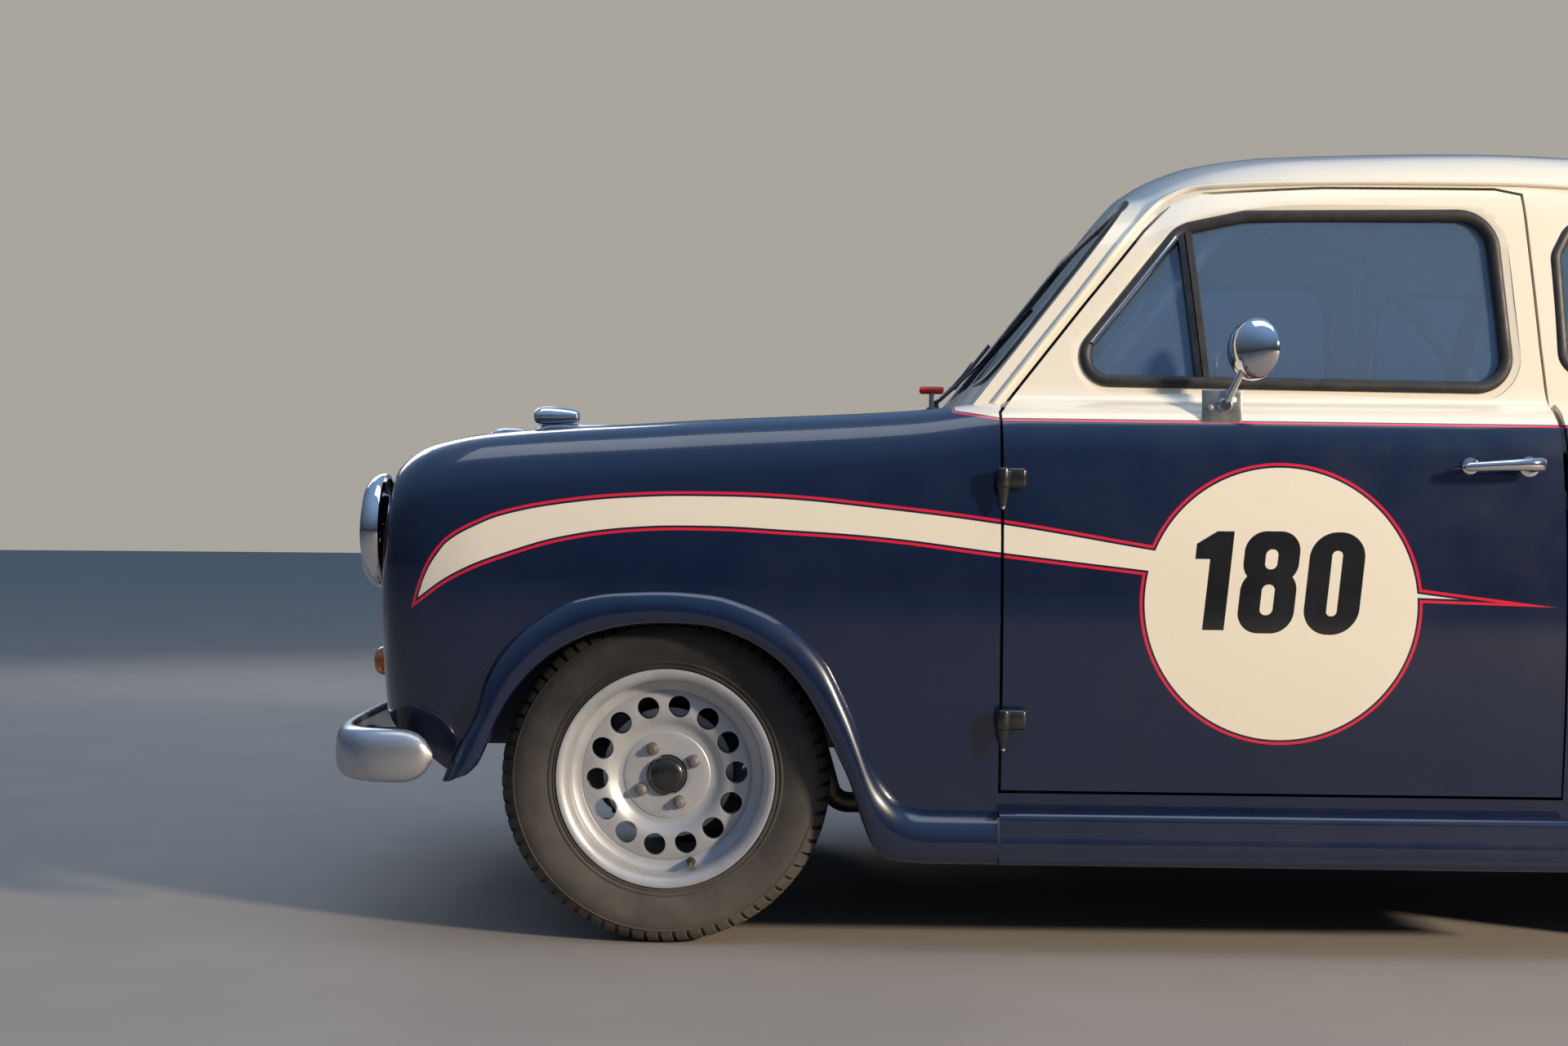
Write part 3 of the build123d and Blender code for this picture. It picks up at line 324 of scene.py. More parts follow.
def grid_of(stations, profiles):
    """Grid of points (station, side, height) in metres, left half."""
    grid = np.zeros((len(stations), len(profiles[0]), 3))
    grid[:, :, 0] = AXLE_X - np.array(stations)[:, None] * MM
    grid[:, :, 1:] = np.array(profiles) * MM
    return grid


def capped(row, steps, middle=(0.0, 575.0)):
    """Rounded nose or tail: the end section drawn together towards its middle."""
    rows = []
    for s, share in steps:
        profile = np.array(middle) + share * (body_profile(row) - middle)
        rows.append(grid_of([s], [profile])[0])
    return rows


def whole_width(grid):
    """Left half grid carried over the centre line to the right."""
    right = grid[:, -2::-1].copy()
    right[:, :, 1] *= -1
    return np.concatenate([grid, right], axis=1)


def linked(name, mesh):
    """New object of a mesh, linked into the scene."""
    piece = bpy.data.objects.new(name, mesh)
    bpy.context.scene.collection.objects.link(piece)
    return piece


def solid_from(name, points, faces):
    """Closed piece of points and faces, its faces turned outwards."""
    mesh = bpy.data.meshes.new(name)
    mesh.from_pydata(points, [], faces)
    tool = bmesh.new()
    tool.from_mesh(mesh)
    bmesh.ops.recalc_face_normals(tool, faces=tool.faces)
    tool.to_mesh(mesh)
    tool.free()
    return linked(name, mesh)


def numbered(grid):
    """Vertex numbers of a grid of points."""
    rows, columns = grid.shape[:2]
    return np.arange(rows * columns).reshape(rows, columns)


def quads_of(*corners):
    """Faces between four shifted copies of a vertex numbering."""
    return np.stack(corners, axis=-1).reshape(-1, 4).tolist()


def sheet_object(name, grid, wall):
    """Closed sheet-metal shell on a grid of outer points, its wall inwards."""
    index = numbered(grid)
    mesh = bpy.data.meshes.new(name)
    mesh.from_pydata(grid.reshape(-1, 3).tolist(), [],
                     quads_of(index[:-1, :-1], index[:-1, 1:], index[1:, 1:], index[1:, :-1]))
    mesh.update()
    middle = mesh.polygons[len(mesh.polygons) // 2]
    if middle.normal.dot(Vector((0, middle.center.y, middle.center.z - 0.6))) < 0:
        mesh.flip_normals()
    piece = linked(name, mesh)
    solid = piece.modifiers.new("wall", "SOLIDIFY")
    solid.thickness = wall
    solid.offset = -1
    applied(piece)
    return piece


def chosen(piece):
    """Make one piece active and selected alone."""
    bpy.ops.object.select_all(action="DESELECT")
    bpy.context.view_layer.objects.active = piece
    piece.select_set(True)


def applied(piece):
    """Apply every modifier of a piece."""
    chosen(piece)
    for modifier in list(piece.modifiers):
        bpy.ops.object.modifier_apply(modifier=modifier.name)


def prism(points, axis, low, high):
    """Closed cutter with a (station, height) outline across the car, or a (station, side) outline upright."""
    half = []
    for level in (low, high):
        for a, b in points:
            half.append((at(a), level * MM, b * MM) if axis == "Y" else (at(a), b * MM, level * MM))
    count = len(points)
    faces = [list(range(count)), list(range(2 * count - 1, count - 1, -1))]
    faces += [[i, i + count, (i + 1) % count + count, (i + 1) % count] for i in range(count)]
    return solid_from("cutter", half, faces)


def rounded_outline(points, radius, steps=8):
    """Outline with each corner rounded by an arc."""
    outline = []
    corners = [np.array(p, float) for p in points]
    radii = radius if isinstance(radius, tuple) else (radius,) * len(points)
    for before, corner, after, turn in zip(corners[-1:] + corners[:-1], corners, corners[1:] + corners[:1],
                                           radii):
        a = (before - corner) / np.linalg.norm(before - corner)
        b = (after - corner) / np.linalg.norm(after - corner)
        half = math.acos(np.clip(a @ b, -1, 1)) / 2
        reach = min(turn / math.tan(half), 0.45 * np.linalg.norm(before - corner),
                    0.45 * np.linalg.norm(after - corner))
        r = reach * math.tan(half)
        middle = corner + (a + b) / np.linalg.norm(a + b) * (r / math.sin(half))
        start, end = corner + a * reach - middle, corner + b * reach - middle
        sweep = math.atan2(start[0] * end[1] - start[1] * end[0], start @ end)
        angle = math.atan2(start[1], start[0])
        for t in np.linspace(0, 1, steps):
            outline.append((middle[0] + r * math.cos(angle + sweep * t),
                            middle[1] + r * math.sin(angle + sweep * t)))
    return outline


def cut(piece, cutter, operation):
    """Boolean with a cutter, which is removed afterwards."""
    step = piece.modifiers.new("cut", "BOOLEAN")
    step.operation = operation
    step.object = cutter
    step.solver = "EXACT"
    applied(piece)
    bpy.data.objects.remove(cutter)
    return piece


def mirrored(piece, name):
    """The same piece on the car's right, its faces turned back outwards."""
    mesh = piece.data.copy()
    mesh.transform(Matrix.Scale(-1, 4, (0, 1, 0)))
    mesh.flip_normals()
    return linked(name, mesh)


def smoothed(piece, angle=32):
    """Smooth faces with crisp edges where panels turn."""
    chosen(piece)
    bpy.ops.object.shade_smooth_by_angle(angle=math.radians(angle))


def finished(piece, body, slot, material, *replaced):
    """Give a piece its finish, its body and the nodes it stands for."""
    piece.data.materials.clear()
    piece.data.materials.append(material)
    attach(piece, body)
    if replaced:
        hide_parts(*replaced)
    return piece


def both(piece, bodies, slot, material, node=None, angle=40):
    """Finish a left piece and its mirror; bodies are one body for both or a left and right body."""
    smoothed(piece, angle)
    left, right = bodies if isinstance(bodies, tuple) else (bodies, bodies)
    other = mirrored(piece, piece.name.replace("left", "right"))
    for one, body, side in ((piece, left, "left"), (other, right, "right")):
        finished(one, body, slot, material)
        if node:
            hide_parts(node.replace("left", side))


# Two-tone paint: cellulose navy below the belt and cream above it, clear-coated and polished.
# Stripe, spear, roundel and pinlines are masked and sprayed; the numerals are cut from black film.
class Field:
    """Number that varies over the surface, kept as a socket and combined with plain arithmetic."""

    def __init__(self, tree, socket):
        """Keep the tree and the socket."""
        self.tree, self.socket = tree, socket

    def made(self, operation, a, b=None):
        """New field from one operation."""
        first, second = (v.socket if isinstance(v, Field) else v for v in (a, b))
        return Field(self.tree, math_node(self.tree, operation, first, second))

    def __add__(self, other):
        return self.made("ADD", self, other)

    def __sub__(self, other):
        return self.made("SUBTRACT", self, other)

    def __rsub__(self, other):
        return self.made("SUBTRACT", other, self)

    def __mul__(self, other):
        return self.made("MULTIPLY", self, other)

    __radd__, __rmul__ = __add__, __mul__

    def least(self, *others):
        """Smallest of this field and others."""
        result = self
        for other in others:
            result = self.made("MINIMUM", result, other)
        return result

    def most(self, *others):
        """Largest of this field and others."""
        result = self
        for other in others:
            result = self.made("MAXIMUM", result, other)
        return result

    def size(self):
        """Value without its sign."""
        return self.made("ABSOLUTE", self)

    def edge(self, soft=0.35):
        """Mask that is 1 where the field is above zero, with a hair-soft edge."""
        return math_node(self.tree, "MULTIPLY_ADD", self.socket, 0.5 / soft, 0.5, clamp=True)


def curve_of(tree, place, points, span, reach):
    """Value read from a drawn curve of (place, value) points."""
    node = tree.nodes.new("ShaderNodeFloatCurve")
    spots = node.mapping.curves[0].points
    wanted = [((s - span[0]) / (span[1] - span[0]), (v - reach[0]) / (reach[1] - reach[0]))
              for s, v in points]
    while len(spots) < len(wanted):
        spots.new(0.5, 0.5)
    for spot, (x, y) in zip(spots, wanted):
        spot.location = (x, y)
        spot.handle_type = "AUTO_CLAMPED"
    node.mapping.update()
    scaled = (place - span[0]) * (1 / (span[1] - span[0]))
    tree.links.new(scaled.socket, node.inputs["Value"])
    return Field(tree, node.outputs[0]) * (reach[1] - reach[0]) + reach[0]


def rounded_box(x, z, centre, half, radius):
    """Distance inside a rounded box; positive inside."""
    across = ((x - centre[0]).size() - (half[0] - radius)).most(0.0)
    along = ((z - centre[1]).size() - (half[1] - radius)).most(0.0)
    root = Field(x.tree, math_node(x.tree, "SQRT", (across * across + along * along).socket))
    return radius - root


STRIPE_TOP = [(-421, 553), (-416, 572), (-408, 598), (-396, 627), (-376, 657), (-356, 676), (-316, 698),
              (-263, 718), (-157, 738), (-50, 748), (57, 751), (190, 748), (351, 734), (541, 712),
              (795, 672), (860, 662)]
STRIPE_LOW = [(-421, 553), (-342, 607), (-262, 640), (-156, 670), (-49, 684), (58, 687), (191, 682),
              (352, 672), (541, 650), (777, 624), (860, 615)]
ROUNDEL = (1005.0, 579.0, 231.0)
NUMERAL_Z = 613.7
NAVY, CREAM = (0.0014, 0.0080, 0.036), (0.80, 0.735, 0.60)
RED, BLACK = (0.70, 0.012, 0.04), (0.006, 0.006, 0.007)


def slope_of(points):
    """How far a curve leans at each of its points: the cosine of its slope."""
    result = []
    for i, (s, z) in enumerate(points):
        a, b = points[max(i - 1, 0)], points[min(i + 1, len(points) - 1)]
        result.append((s, math.cos(math.atan2(b[1] - a[1], b[0] - a[0]))))
    return result


body_paint, tree, shader = new_material("navy_and_cream_paint")
x, y, z = place_of(tree)
X, Y, Z = Field(tree, x), Field(tree, y), Field(tree, z)
station = (AXLE_X - X) * 1000
height = Z * 1000
side = Field(tree, math_node(tree, "SIGN", y))
span = (-421.0, 860.0)
top_lean, low_lean = (curve_of(tree, station, slope_of(points), span, (0, 1))
                      for points in (STRIPE_TOP, STRIPE_LOW))
stripe = ((curve_of(tree, station, STRIPE_TOP, span, (500, 800)) - height) * top_lean).least(
    (height - curve_of(tree, station, STRIPE_LOW, span, (500, 800))) * low_lean, 860 - station)
from_centre, above_centre = station - ROUNDEL[0], height - ROUNDEL[1]
distance = Field(tree, math_node(tree, "SQRT",
                                 (from_centre * from_centre + above_centre * above_centre).socket))
roundel = ROUNDEL[2] - distance
spear_top, spear_low = 606 - (station - 1234) * 0.122, 584 - (station - 1237) * 0.022
spear = (spear_top - height).least(height - spear_low, station - 1160)
marking = stripe.most(roundel, spear)
marking = marking.least((Y.size() - 0.52) * 1000)
belt = (height - ((548 - station).most(0.0) * 0.165 + 876)).least(station - 470, 2226 - station)
cream_field = (marking - 8).most(belt - 3.4)
red_field = marking.least(4.4 - marking).most((belt + 1.6).least(1.6 - belt))

slant = (from_centre * side) - (height - NUMERAL_Z) * 0.105
one = (17.7 - (slant + 103).size()).least(height - 535, 697 - height)
flag = (slant + 145).least(-118 - slant, height - 651)
one = one.most(flag).least((676 + (slant + 145) * 0.66) - height)
eight = rounded_box(slant, height, (-20, 655), (45.5, 43), 34).most(
    rounded_box(slant, height, (-20, 583.3), (46, 52.6), 36))
eight = eight.least(0 - rounded_box(slant, height, (-20, 652), (10, 16.3), 9.5),
                    0 - rounded_box(slant, height, (-20, 585.7), (10.5, 25), 10))
nought = rounded_box(slant, height, (87, NUMERAL_Z), (45.5, 84), 43).least(
    0 - rounded_box(slant, height, (87, NUMERAL_Z), (8.6, 53.5), 8))
numerals = one.most(eight, nought).least((Y.size() - 0.6) * 1000)

colour = mixed(tree, cream_field.edge(), NAVY, CREAM)
colour = mixed(tree, red_field.edge(), colour, RED)
colour = mixed(tree, numerals.edge(), colour, BLACK)
grit = object_noise(tree, 9.0, 8.0)
low = math_node(tree, "MULTIPLY_ADD", z, -3.2, 1.0, clamp=True)
film = math_node(tree, "MULTIPLY", low, math_node(tree, "MULTIPLY", grit, 0.06))
colour = mixed(tree, film, colour, (0.32, 0.27, 0.21))
joined(tree, (colour, shader.inputs["Base Color"]),
       (spread(tree, grit, 0.3, 0.75, 0.22, 0.36), shader.inputs["Roughness"]),
       (bumped(tree, object_noise(tree, 160.0, 2.0), 0.012, 0.001), shader.inputs["Normal"]))
held(shader, {"Coat Weight": 1.0, "Coat Roughness": 0.035, "IOR": 1.45})


# Outer panels: wings, bonnet, scuttle, front panel, doors, quarters, boot lid, rear panel and roof.
# Each is cut from the body skin with the real 5 mm shut lines, and painted on both sides.
WALL = 0.009
DOOR_WALL = 0.036
SHUT_LINE = 5
DOOR_COLUMNS, GLASS_COLUMNS = 98, 92
REAR_ARCH_SHIFT = 2011
DOOR_OUTLINE = [(553, 267), (551, 700), (549, 888), (690, 1068), (800, 1205), (848, 1254), (900, 1272),
                (1100, 1281), (1390, 1281), (1432, 1272), (1452, 1010), (1466, 870), (1471, 700),
                (1473, 267)]
WINDOW_OUTLINE = [(637, 941), (855, 1214), (967, 1238), (1384, 1243), (1409, 936)]
WINDOW_RADII = (48.0, 60.0, 60.0, 66.0, 58.0)
QUARTER_OUTLINE = [(1488, 965), (1480, 1170), (1510, 1226), (1790, 1226), (1880, 1150), (1930, 965)]
QUARTER_ROUND = 40
NOSE = [(-494.5, 0.05), (-494, 0.4), (-492.5, 0.8), (-490.5, 0.95)]
TAIL = [(2794, 0.94), (2797, 0.75), (2799, 0.4), (2800, 0.05)]


def grown(points, distance):
    """Convex outline moved outwards by a distance."""
    moved = []
    corners = [np.array(p, float) for p in points]
    turn = sum(a[0] * b[1] - b[0] * a[1] for a, b in zip(corners, corners[1:] + corners[:1]))
    outwards = 1 if turn > 0 else -1
    for before, corner, after in zip(corners[-1:] + corners[:-1], corners, corners[1:] + corners[:1]):
        a, b = corner - before, after - corner
        na = outwards * np.array((a[1], -a[0])) / np.linalg.norm(a)
        nb = outwards * np.array((b[1], -b[0])) / np.linalg.norm(b)
        way = (na + nb) / (1 + na @ nb)
        moved.append(tuple(corner + way * distance))
    return moved


def body_grid(stations):
    """Lower body points at stations, left half."""
    return grid_of(stations, [body_profile(row) for row in through_rows(BODY, np.array(stations, float))])


def stations_between(start, end, step=16.0):
    """Even stations with both ends."""
    return np.linspace(start, end, max(2, int(abs(end - start) / step) + 1))


nose_stations = [-488, -486.5, -484.5, -482, -478, -473, -467, -460, -451, -440, -428, -414, -400]
nose = np.concatenate([np.array(capped(BODY[0][1:], NOSE)), body_grid(nose_stations)])
front_half = np.concatenate([nose, body_grid(stations_between(-386, 640))])
tail_stations = [2640, 2660, 2680, 2700, 2715, 2730, 2744, 2756, 2766, 2774, 2780, 2784, 2787, 2790]
tail = np.concatenate([body_grid(tail_stations), np.array(capped(BODY[-1][1:], TAIL, (0.0, 480.0)))])
rear_half = np.concatenate([body_grid(stations_between(1440, 2620)), tail])

door_gap = grown(DOOR_OUTLINE, SHUT_LINE)
FRONT_ARCH = [(-400, 100), (-356, 286), (-332, 330), (-302, 385), (-287, 431), (-267, 465), (-226, 512),
              (-193, 536), (-149, 560), (-81, 573), (0, 576), (68, 571), (142, 550), (205, 514), (250, 469),
              (285, 407), (309, 355), (327, 311), (348, 271), (383, 235), (422, 221), (620, 221),
              (620, 100)]
rear_arch = [(REAR_ARCH_SHIFT - s, z) for s, z in FRONT_ARCH]

front_wing = sheet_object("front_wing_left", front_half, WALL)
wing_plan = [(-520, 352), (-430, 352), (-430, 357), (405, 433), (405, 602), (548, 602), (548, 800),
             (-520, 800)]
cut(front_wing, prism(wing_plan, "Z", 0, 1100), "INTERSECT")
cut(front_wing, prism(door_gap, "Y", 300, 900), "DIFFERENCE")
cut(front_wing, prism(FRONT_ARCH, "Y", 560, 900), "DIFFERENCE")
bpy.ops.mesh.primitive_cylinder_add(vertices=96, radius=0.0895, depth=0.3, location=(at(-520), 0.515, 0.679),
                                    rotation=(0, math.pi / 2, 0))
cut(front_wing, bpy.context.object, "DIFFERENCE")

bonnet = sheet_object("bonnet_skin", whole_width(front_half), WALL)
bonnet_plan = [(-425, -352), (-425, 352), (400, 428), (400, -428)]
scuttle = sheet_object("scuttle_skin", whole_width(front_half), WALL)
front_panel = sheet_object("front_panel_skin", whole_width(front_half), WALL)
cut(bonnet, prism(bonnet_plan, "Z", 600, 1100), "INTERSECT")
cut(scuttle, prism([(405, -602), (405, 602), (600, 602), (600, -602)], "Z", 700, 1100), "INTERSECT")
cut(front_panel, prism([(-520, -352), (-520, 352), (-430, 352), (-430, -352)], "Z", 300, 1100), "INTERSECT")

quarter = sheet_object("rear_quarter_skin", rear_half, WALL)
quarter_plan = [(1476, 600), (1476, 900), (2900, 900), (2900, 255), (2783, 255), (2640, 350), (2235, 405),
                (2235, -1), (2100, -1), (2100, 600)]
cut(quarter, prism(quarter_plan, "Z", 0, 1100), "INTERSECT")
cut(quarter, prism(rear_arch, "Y", 560, 900), "DIFFERENCE")
boot_lid = sheet_object("boot_lid_skin", whole_width(rear_half), WALL)
cut(boot_lid, prism([(2240, -400), (2640, -345), (2783, -250), (2783, 250), (2640, 345), (2240, 400)], "Z",
                    540, 1100), "INTERSECT")
rear_panel = sheet_object("rear_panel_skin", whole_width(rear_half), WALL)
cut(rear_panel, prism([(2705, -255), (2705, 255), (2900, 255), (2900, -255)], "Z", 100, 700), "INTERSECT")
cut(rear_panel, prism([(2600, -400), (2788, -400), (2788, 400), (2600, 400)], "Z", 535, 900), "DIFFERENCE")

cabin_stations = stations_between(520, 1500)
cabin_rows = zip(through_rows(BODY, cabin_stations), through_rows(ROOF, cabin_stations))
cabin_half = grid_of(cabin_stations, [cabin_profile(row, roof_row) for row, roof_row in cabin_rows])
door = sheet_object("door_left_skin", cabin_half[:, :DOOR_COLUMNS], DOOR_WALL)
cut(door, prism(DOOR_OUTLINE, "Y", 400, 900), "INTERSECT")
cut(door, prism(rounded_outline(WINDOW_OUTLINE, WINDOW_RADII, 14), "Y", 300, 900), "DIFFERENCE")

painted = [
    (front_wing, "root", "front_wing_left"),
    (mirrored(front_wing, "front_wing_right"), "root", "front_wing_right"),
    (bonnet, "bonnet", "bonnet"),
    (scuttle, "root", "scuttle"),
    (front_panel, "root", "front_panel"),
    (quarter, "root", "rear_quarter_left"),
    (mirrored(quarter, "rear_quarter_right_skin"), "root", "rear_quarter_right"),
    (boot_lid, "boot_lid", "boot_lid"),
    (rear_panel, "root", "rear_panel"),
    (door, "door_left", "door_left"),
    (mirrored(door, "door_right_skin"), "door_right", "door_right"),
]
for piece, body, node in painted:
    smoothed(piece)
    finished(piece, body, "navy_paint", body_paint, node)


# Arch and sill roll: a half-round flare pressed round each wheel opening that runs on into the sill.
# Its upper edge leaves a crisp valley in the panel; its lower edge is turned in under the wing.
CREASE = [(-372, 268), (-360, 298), (-344, 328), (-314, 382), (-299, 431), (-278, 472), (-234, 522),
          (-199, 547), (-152, 572), (-82, 585), (0, 588), (71, 583), (147, 561), (213, 524), (260, 477),
          (296, 413), (320, 361), (338, 317), (358, 279), (389, 246), (424, 234), (470, 233), (546, 233)]
OPENING = [(-322, 283), (-314, 290), (-305, 300), (-293, 325), (-279, 362), (-256, 406), (-221, 451),
           (-175, 489), (-116, 517), (-50, 531), (0, 534), (60, 531), (119, 514), (178, 480), (225, 430),
           (258, 375), (282, 325), (303, 280), (325, 215), (345, 172), (372, 152), (440, 147), (546, 147)]
ROLL_SHAPE = [(0, -0.15), (0.03, 0.1), (0.08, 0.36), (0.16, 0.6), (0.27, 0.8), (0.4, 0.93), (0.54, 1.0),
              (0.68, 0.99), (0.8, 0.9), (0.89, 0.74), (0.95, 0.5), (0.985, 0.2), (1.0, -0.15), (1.0, -0.8),
              (0.96, -1.6)]


def side_width(s, z):
    """Half width of the body's side at a station and height."""
    row = through_rows(BODY, np.array([float(s)]))[0]
    side = arc_through((row[1], row[0]), (row[2], row[3]), (row[4], row[5]), 60)
    return float(np.interp(z, side[:, 1], side[:, 0]))


def evenly(points, steps):
    """Smooth curve through points, at even steps."""
    points = np.array(points, float)
    lengths = np.concatenate([[0], np.cumsum(np.linalg.norm(np.diff(points, axis=0), axis=1))])
    table = np.column_stack([lengths, points])
    return through_rows(table, np.linspace(0, lengths[-1], steps))


def rolled_band(name, crease, opening, proud, steps=150):
    """Band of rolled sheet between two side-view lines."""
    outer, inner = evenly(crease, steps), evenly(opening, steps)
    grid = np.zeros((steps, len(ROLL_SHAPE), 3))
    for i, (a, b) in enumerate(zip(outer, inner)):
        base_a, base_b = side_width(*a), side_width(*b)
        top = max(proud, (base_a + base_b) / 2 + 12)
        for j, (share, rise) in enumerate(ROLL_SHAPE):
            s, z = a + (b - a) * share
            base = base_a + (base_b - base_a) * min(share * 1.2, 1)
            reach = (top - base_a) if rise >= 0 else 16
            y = base_a + rise * reach if share < 0.5 else top - (1 - rise) * 14
            grid[i, j] = (AXLE_X - s * MM, y * MM, z * MM)
    return sheet_object(name, grid, 0.003)


ROLL_REACH = 704.5
front_roll = rolled_band("front_wing_roll_left", CREASE, OPENING, ROLL_REACH)
rear_crease = [(REAR_ARCH_SHIFT - s, z) for s, z in reversed(CREASE[:-1])]
rear_opening = [(REAR_ARCH_SHIFT - s, z) for s, z in reversed(OPENING[:-1])]
rear_roll = rolled_band("rear_quarter_roll_left", [(1476, 233)] + rear_crease, [(1476, 147)] + rear_opening,
                        ROLL_REACH)
sill_roll = rolled_band("sill_roll_left", [(552, 233), (1000, 233), (1471, 233)],
                        [(552, 147), (1000, 147), (1471, 147)], 705.5, 40)
for piece in (front_roll, rear_roll, sill_roll):
    both(piece, "root", "navy_paint", body_paint, angle=50)


# Roof with its pillars and screen surrounds: one steel pressing, hollow inside, welded to the body.
# It is cut for the doors, the rear side windows and both screens.
SCREEN_FOOT, SCREEN_HEAD = (503, 905), (833, 1326)
REAR_FOOT, REAR_HEAD = (2212, 945), (1968, 1326)
ROOF_WALL = 26
SCREEN_BOW, SCREEN_HALF = 12.0, 540.0
BOW_RADIUS = (SCREEN_HALF**2 + SCREEN_BOW**2) / (2 * SCREEN_BOW)
SCREEN_LEAN = (SCREEN_HEAD[0] - SCREEN_FOOT[0]) / (SCREEN_HEAD[1] - SCREEN_FOOT[1])


def closed_volume(name, grid):
    """Closed solid from a whole-width grid of ring sections."""
    index = numbered(grid)
    ring = np.concatenate([index, index[:, :1]], axis=1)
    quads = quads_of(ring[:-1, :-1], ring[:-1, 1:], ring[1:, 1:], ring[1:, :-1])
    return solid_from(name, grid.reshape(-1, 3).tolist(),
                      quads + [index[0].tolist(), index[-1][::-1].tolist()])


def bow_rise(y):
    """How far the windscreen bows forward at a width."""
    return math.sqrt(BOW_RADIUS**2 - y * y) - (BOW_RADIUS - SCREEN_BOW)


def screen_station(y, z, wall=0.0):
    """Station of the bowed windscreen's face at a width and height, drawn in by a wall."""
    reach = (wall - bow_rise(y)) * math.hypot(1, SCREEN_LEAN)
    return SCREEN_FOOT[0] + SCREEN_LEAN * (z - SCREEN_FOOT[1]) + reach


def between_screens(wall, low=820, high=1500):
    """Volume between the bowed windscreen and the rear screen's plane, drawn in by a wall."""
    back = (REAR_HEAD[0] - REAR_FOOT[0]) / (REAR_HEAD[1] - REAR_FOOT[1])
    rings = []
    for z in (low, high):
        rear = REAR_FOOT[0] + back * (z - REAR_FOOT[1]) - wall * math.hypot(1, back)
        ring = [(screen_station(y, z, wall), y) for y in np.linspace(-700, 700, 41)]
        ring += [(rear, 700), (rear, -700)]
        rings.append([(at(s), y * MM, z * MM) for s, y in ring])
    return closed_volume("cutter", np.array(rings))


def drawn_in(profile, wall):
    """Section outline moved inwards by a wall, its foot carried lower."""
    step = np.gradient(profile, axis=0)
    normal = np.column_stack([-step[:, 1], step[:, 0]])
    normal /= np.linalg.norm(normal, axis=1)[:, None]
    inner = profile + normal * wall
    inner[-1, 0] = 0
    foot = np.array([[inner[0, 0], inner[0, 1] - 60]])
    return np.vstack([foot, inner])


roof_stations = stations_between(445, 2330)
roof_rows = through_rows(ROOF, roof_stations)
roof_profiles = [roof_profile(row) for row in roof_rows]
roof_grid = grid_of(roof_stations, roof_profiles)
inner_grid = grid_of(roof_stations, [drawn_in(profile, ROOF_WALL) for profile in roof_profiles])
outer_volume = closed_volume("roof_skin", whole_width(roof_grid))
inner_volume = closed_volume("roof_room", whole_width(inner_grid))
cut(outer_volume, between_screens(0), "INTERSECT")
cut(inner_volume, between_screens(ROOF_WALL), "INTERSECT")
roof = cut(outer_volume, inner_volume, "DIFFERENCE")
cut(roof, prism(door_gap, "Y", 512, 900), "DIFFERENCE")
cut(roof, prism(door_gap, "Y", -900, -512), "DIFFERENCE")
cut(roof, prism(rounded_outline(QUARTER_OUTLINE, QUARTER_ROUND, 12), "Y", -900, 900), "DIFFERENCE")


def screen_cutter(foot, head, outline, sign):
    """Cutter through a screen's opening, upright to its leaning plane; also gives the plane."""
    lean = Vector((at(head[0]) - at(foot[0]), 0, (head[1] - foot[1]) * MM)).normalized()
    normal = Vector((0, sign, 0)).cross(lean)
    middle = Vector((at((foot[0] + head[0]) / 2), 0, (foot[1] + head[1]) / 2 * MM))
    place = Matrix((Vector((0, sign, 0)), lean, normal)).transposed().to_4x4()
    place.translation = middle
    points = rounded_outline(outline, SCREEN_ROUND, 12)
    count = len(points)
    verts = [place @ Vector((a * MM, b * MM, level)) for level in (-0.12, 0.12) for a, b in points]
    faces = [list(range(count))[::-1], list(range(count, 2 * count))]
    faces += [[i, (i + 1) % count, (i + 1) % count + count, i + count] for i in range(count)]
    return solid_from("cutter", verts, faces), place


SCREEN_ROUND = 70
WINDSCREEN = [(-545, -212), (545, -212), (488, 190), (-488, 190)]
REAR_SCREEN = [(-450, -150), (450, -150), (400, 160), (-400, 160)]
cutter, windscreen_place = screen_cutter(SCREEN_FOOT, SCREEN_HEAD, WINDSCREEN, 1)
cut(roof, cutter, "DIFFERENCE")
cutter, rear_place = screen_cutter(REAR_FOOT, REAR_HEAD, REAR_SCREEN, -1)
cut(roof, cutter, "DIFFERENCE")
smoothed(roof)
finished(roof, "root", "cream_paint", body_paint, "roof")


# Finishes shared by the small parts: chrome, satin silver, black enamel, rubber, glass and bare steel.
# Each has the fine unevenness of a used car: hazing, hand marks and road film.
used_finish = bpy.data.node_groups.new("used_finish", "ShaderNodeTree")
FINISH_NUMBERS = ("Scale", "Gloss Scale", "Least Roughness", "Most Roughness", "Bump", "Bump Scale",
                  "Road Film")
for way, kind, names in (("INPUT", "Color", ("First Tone", "Second Tone")),
                         ("INPUT", "Float", FINISH_NUMBERS), ("OUTPUT", "Color", ("Color",)),
                         ("OUTPUT", "Float", ("Roughness",)), ("OUTPUT", "Vector", ("Normal",))):
    for name in names:
        used_finish.interface.new_socket(name=name, in_out=way, socket_type="NodeSocket" + kind)
given_in = used_finish.nodes.new("NodeGroupInput").outputs
given_out = used_finish.nodes.new("NodeGroupOutput").inputs
tones = spread(used_finish, object_noise(used_finish, given_in["Scale"]), 0.35, 0.65, 0, 1)
clean = mixed(used_finish, tones, given_in["First Tone"], given_in["Second Tone"])
near_ground = math_node(used_finish, "MULTIPLY_ADD", place_of(used_finish)[2], -2.6, 1.05, clamp=True)
dust = math_node(used_finish, "MULTIPLY", object_noise(used_finish, 14.0, 8.0, 0.65), given_in["Road Film"])
mask = math_node(used_finish, "MULTIPLY", near_ground, dust, clamp=True)
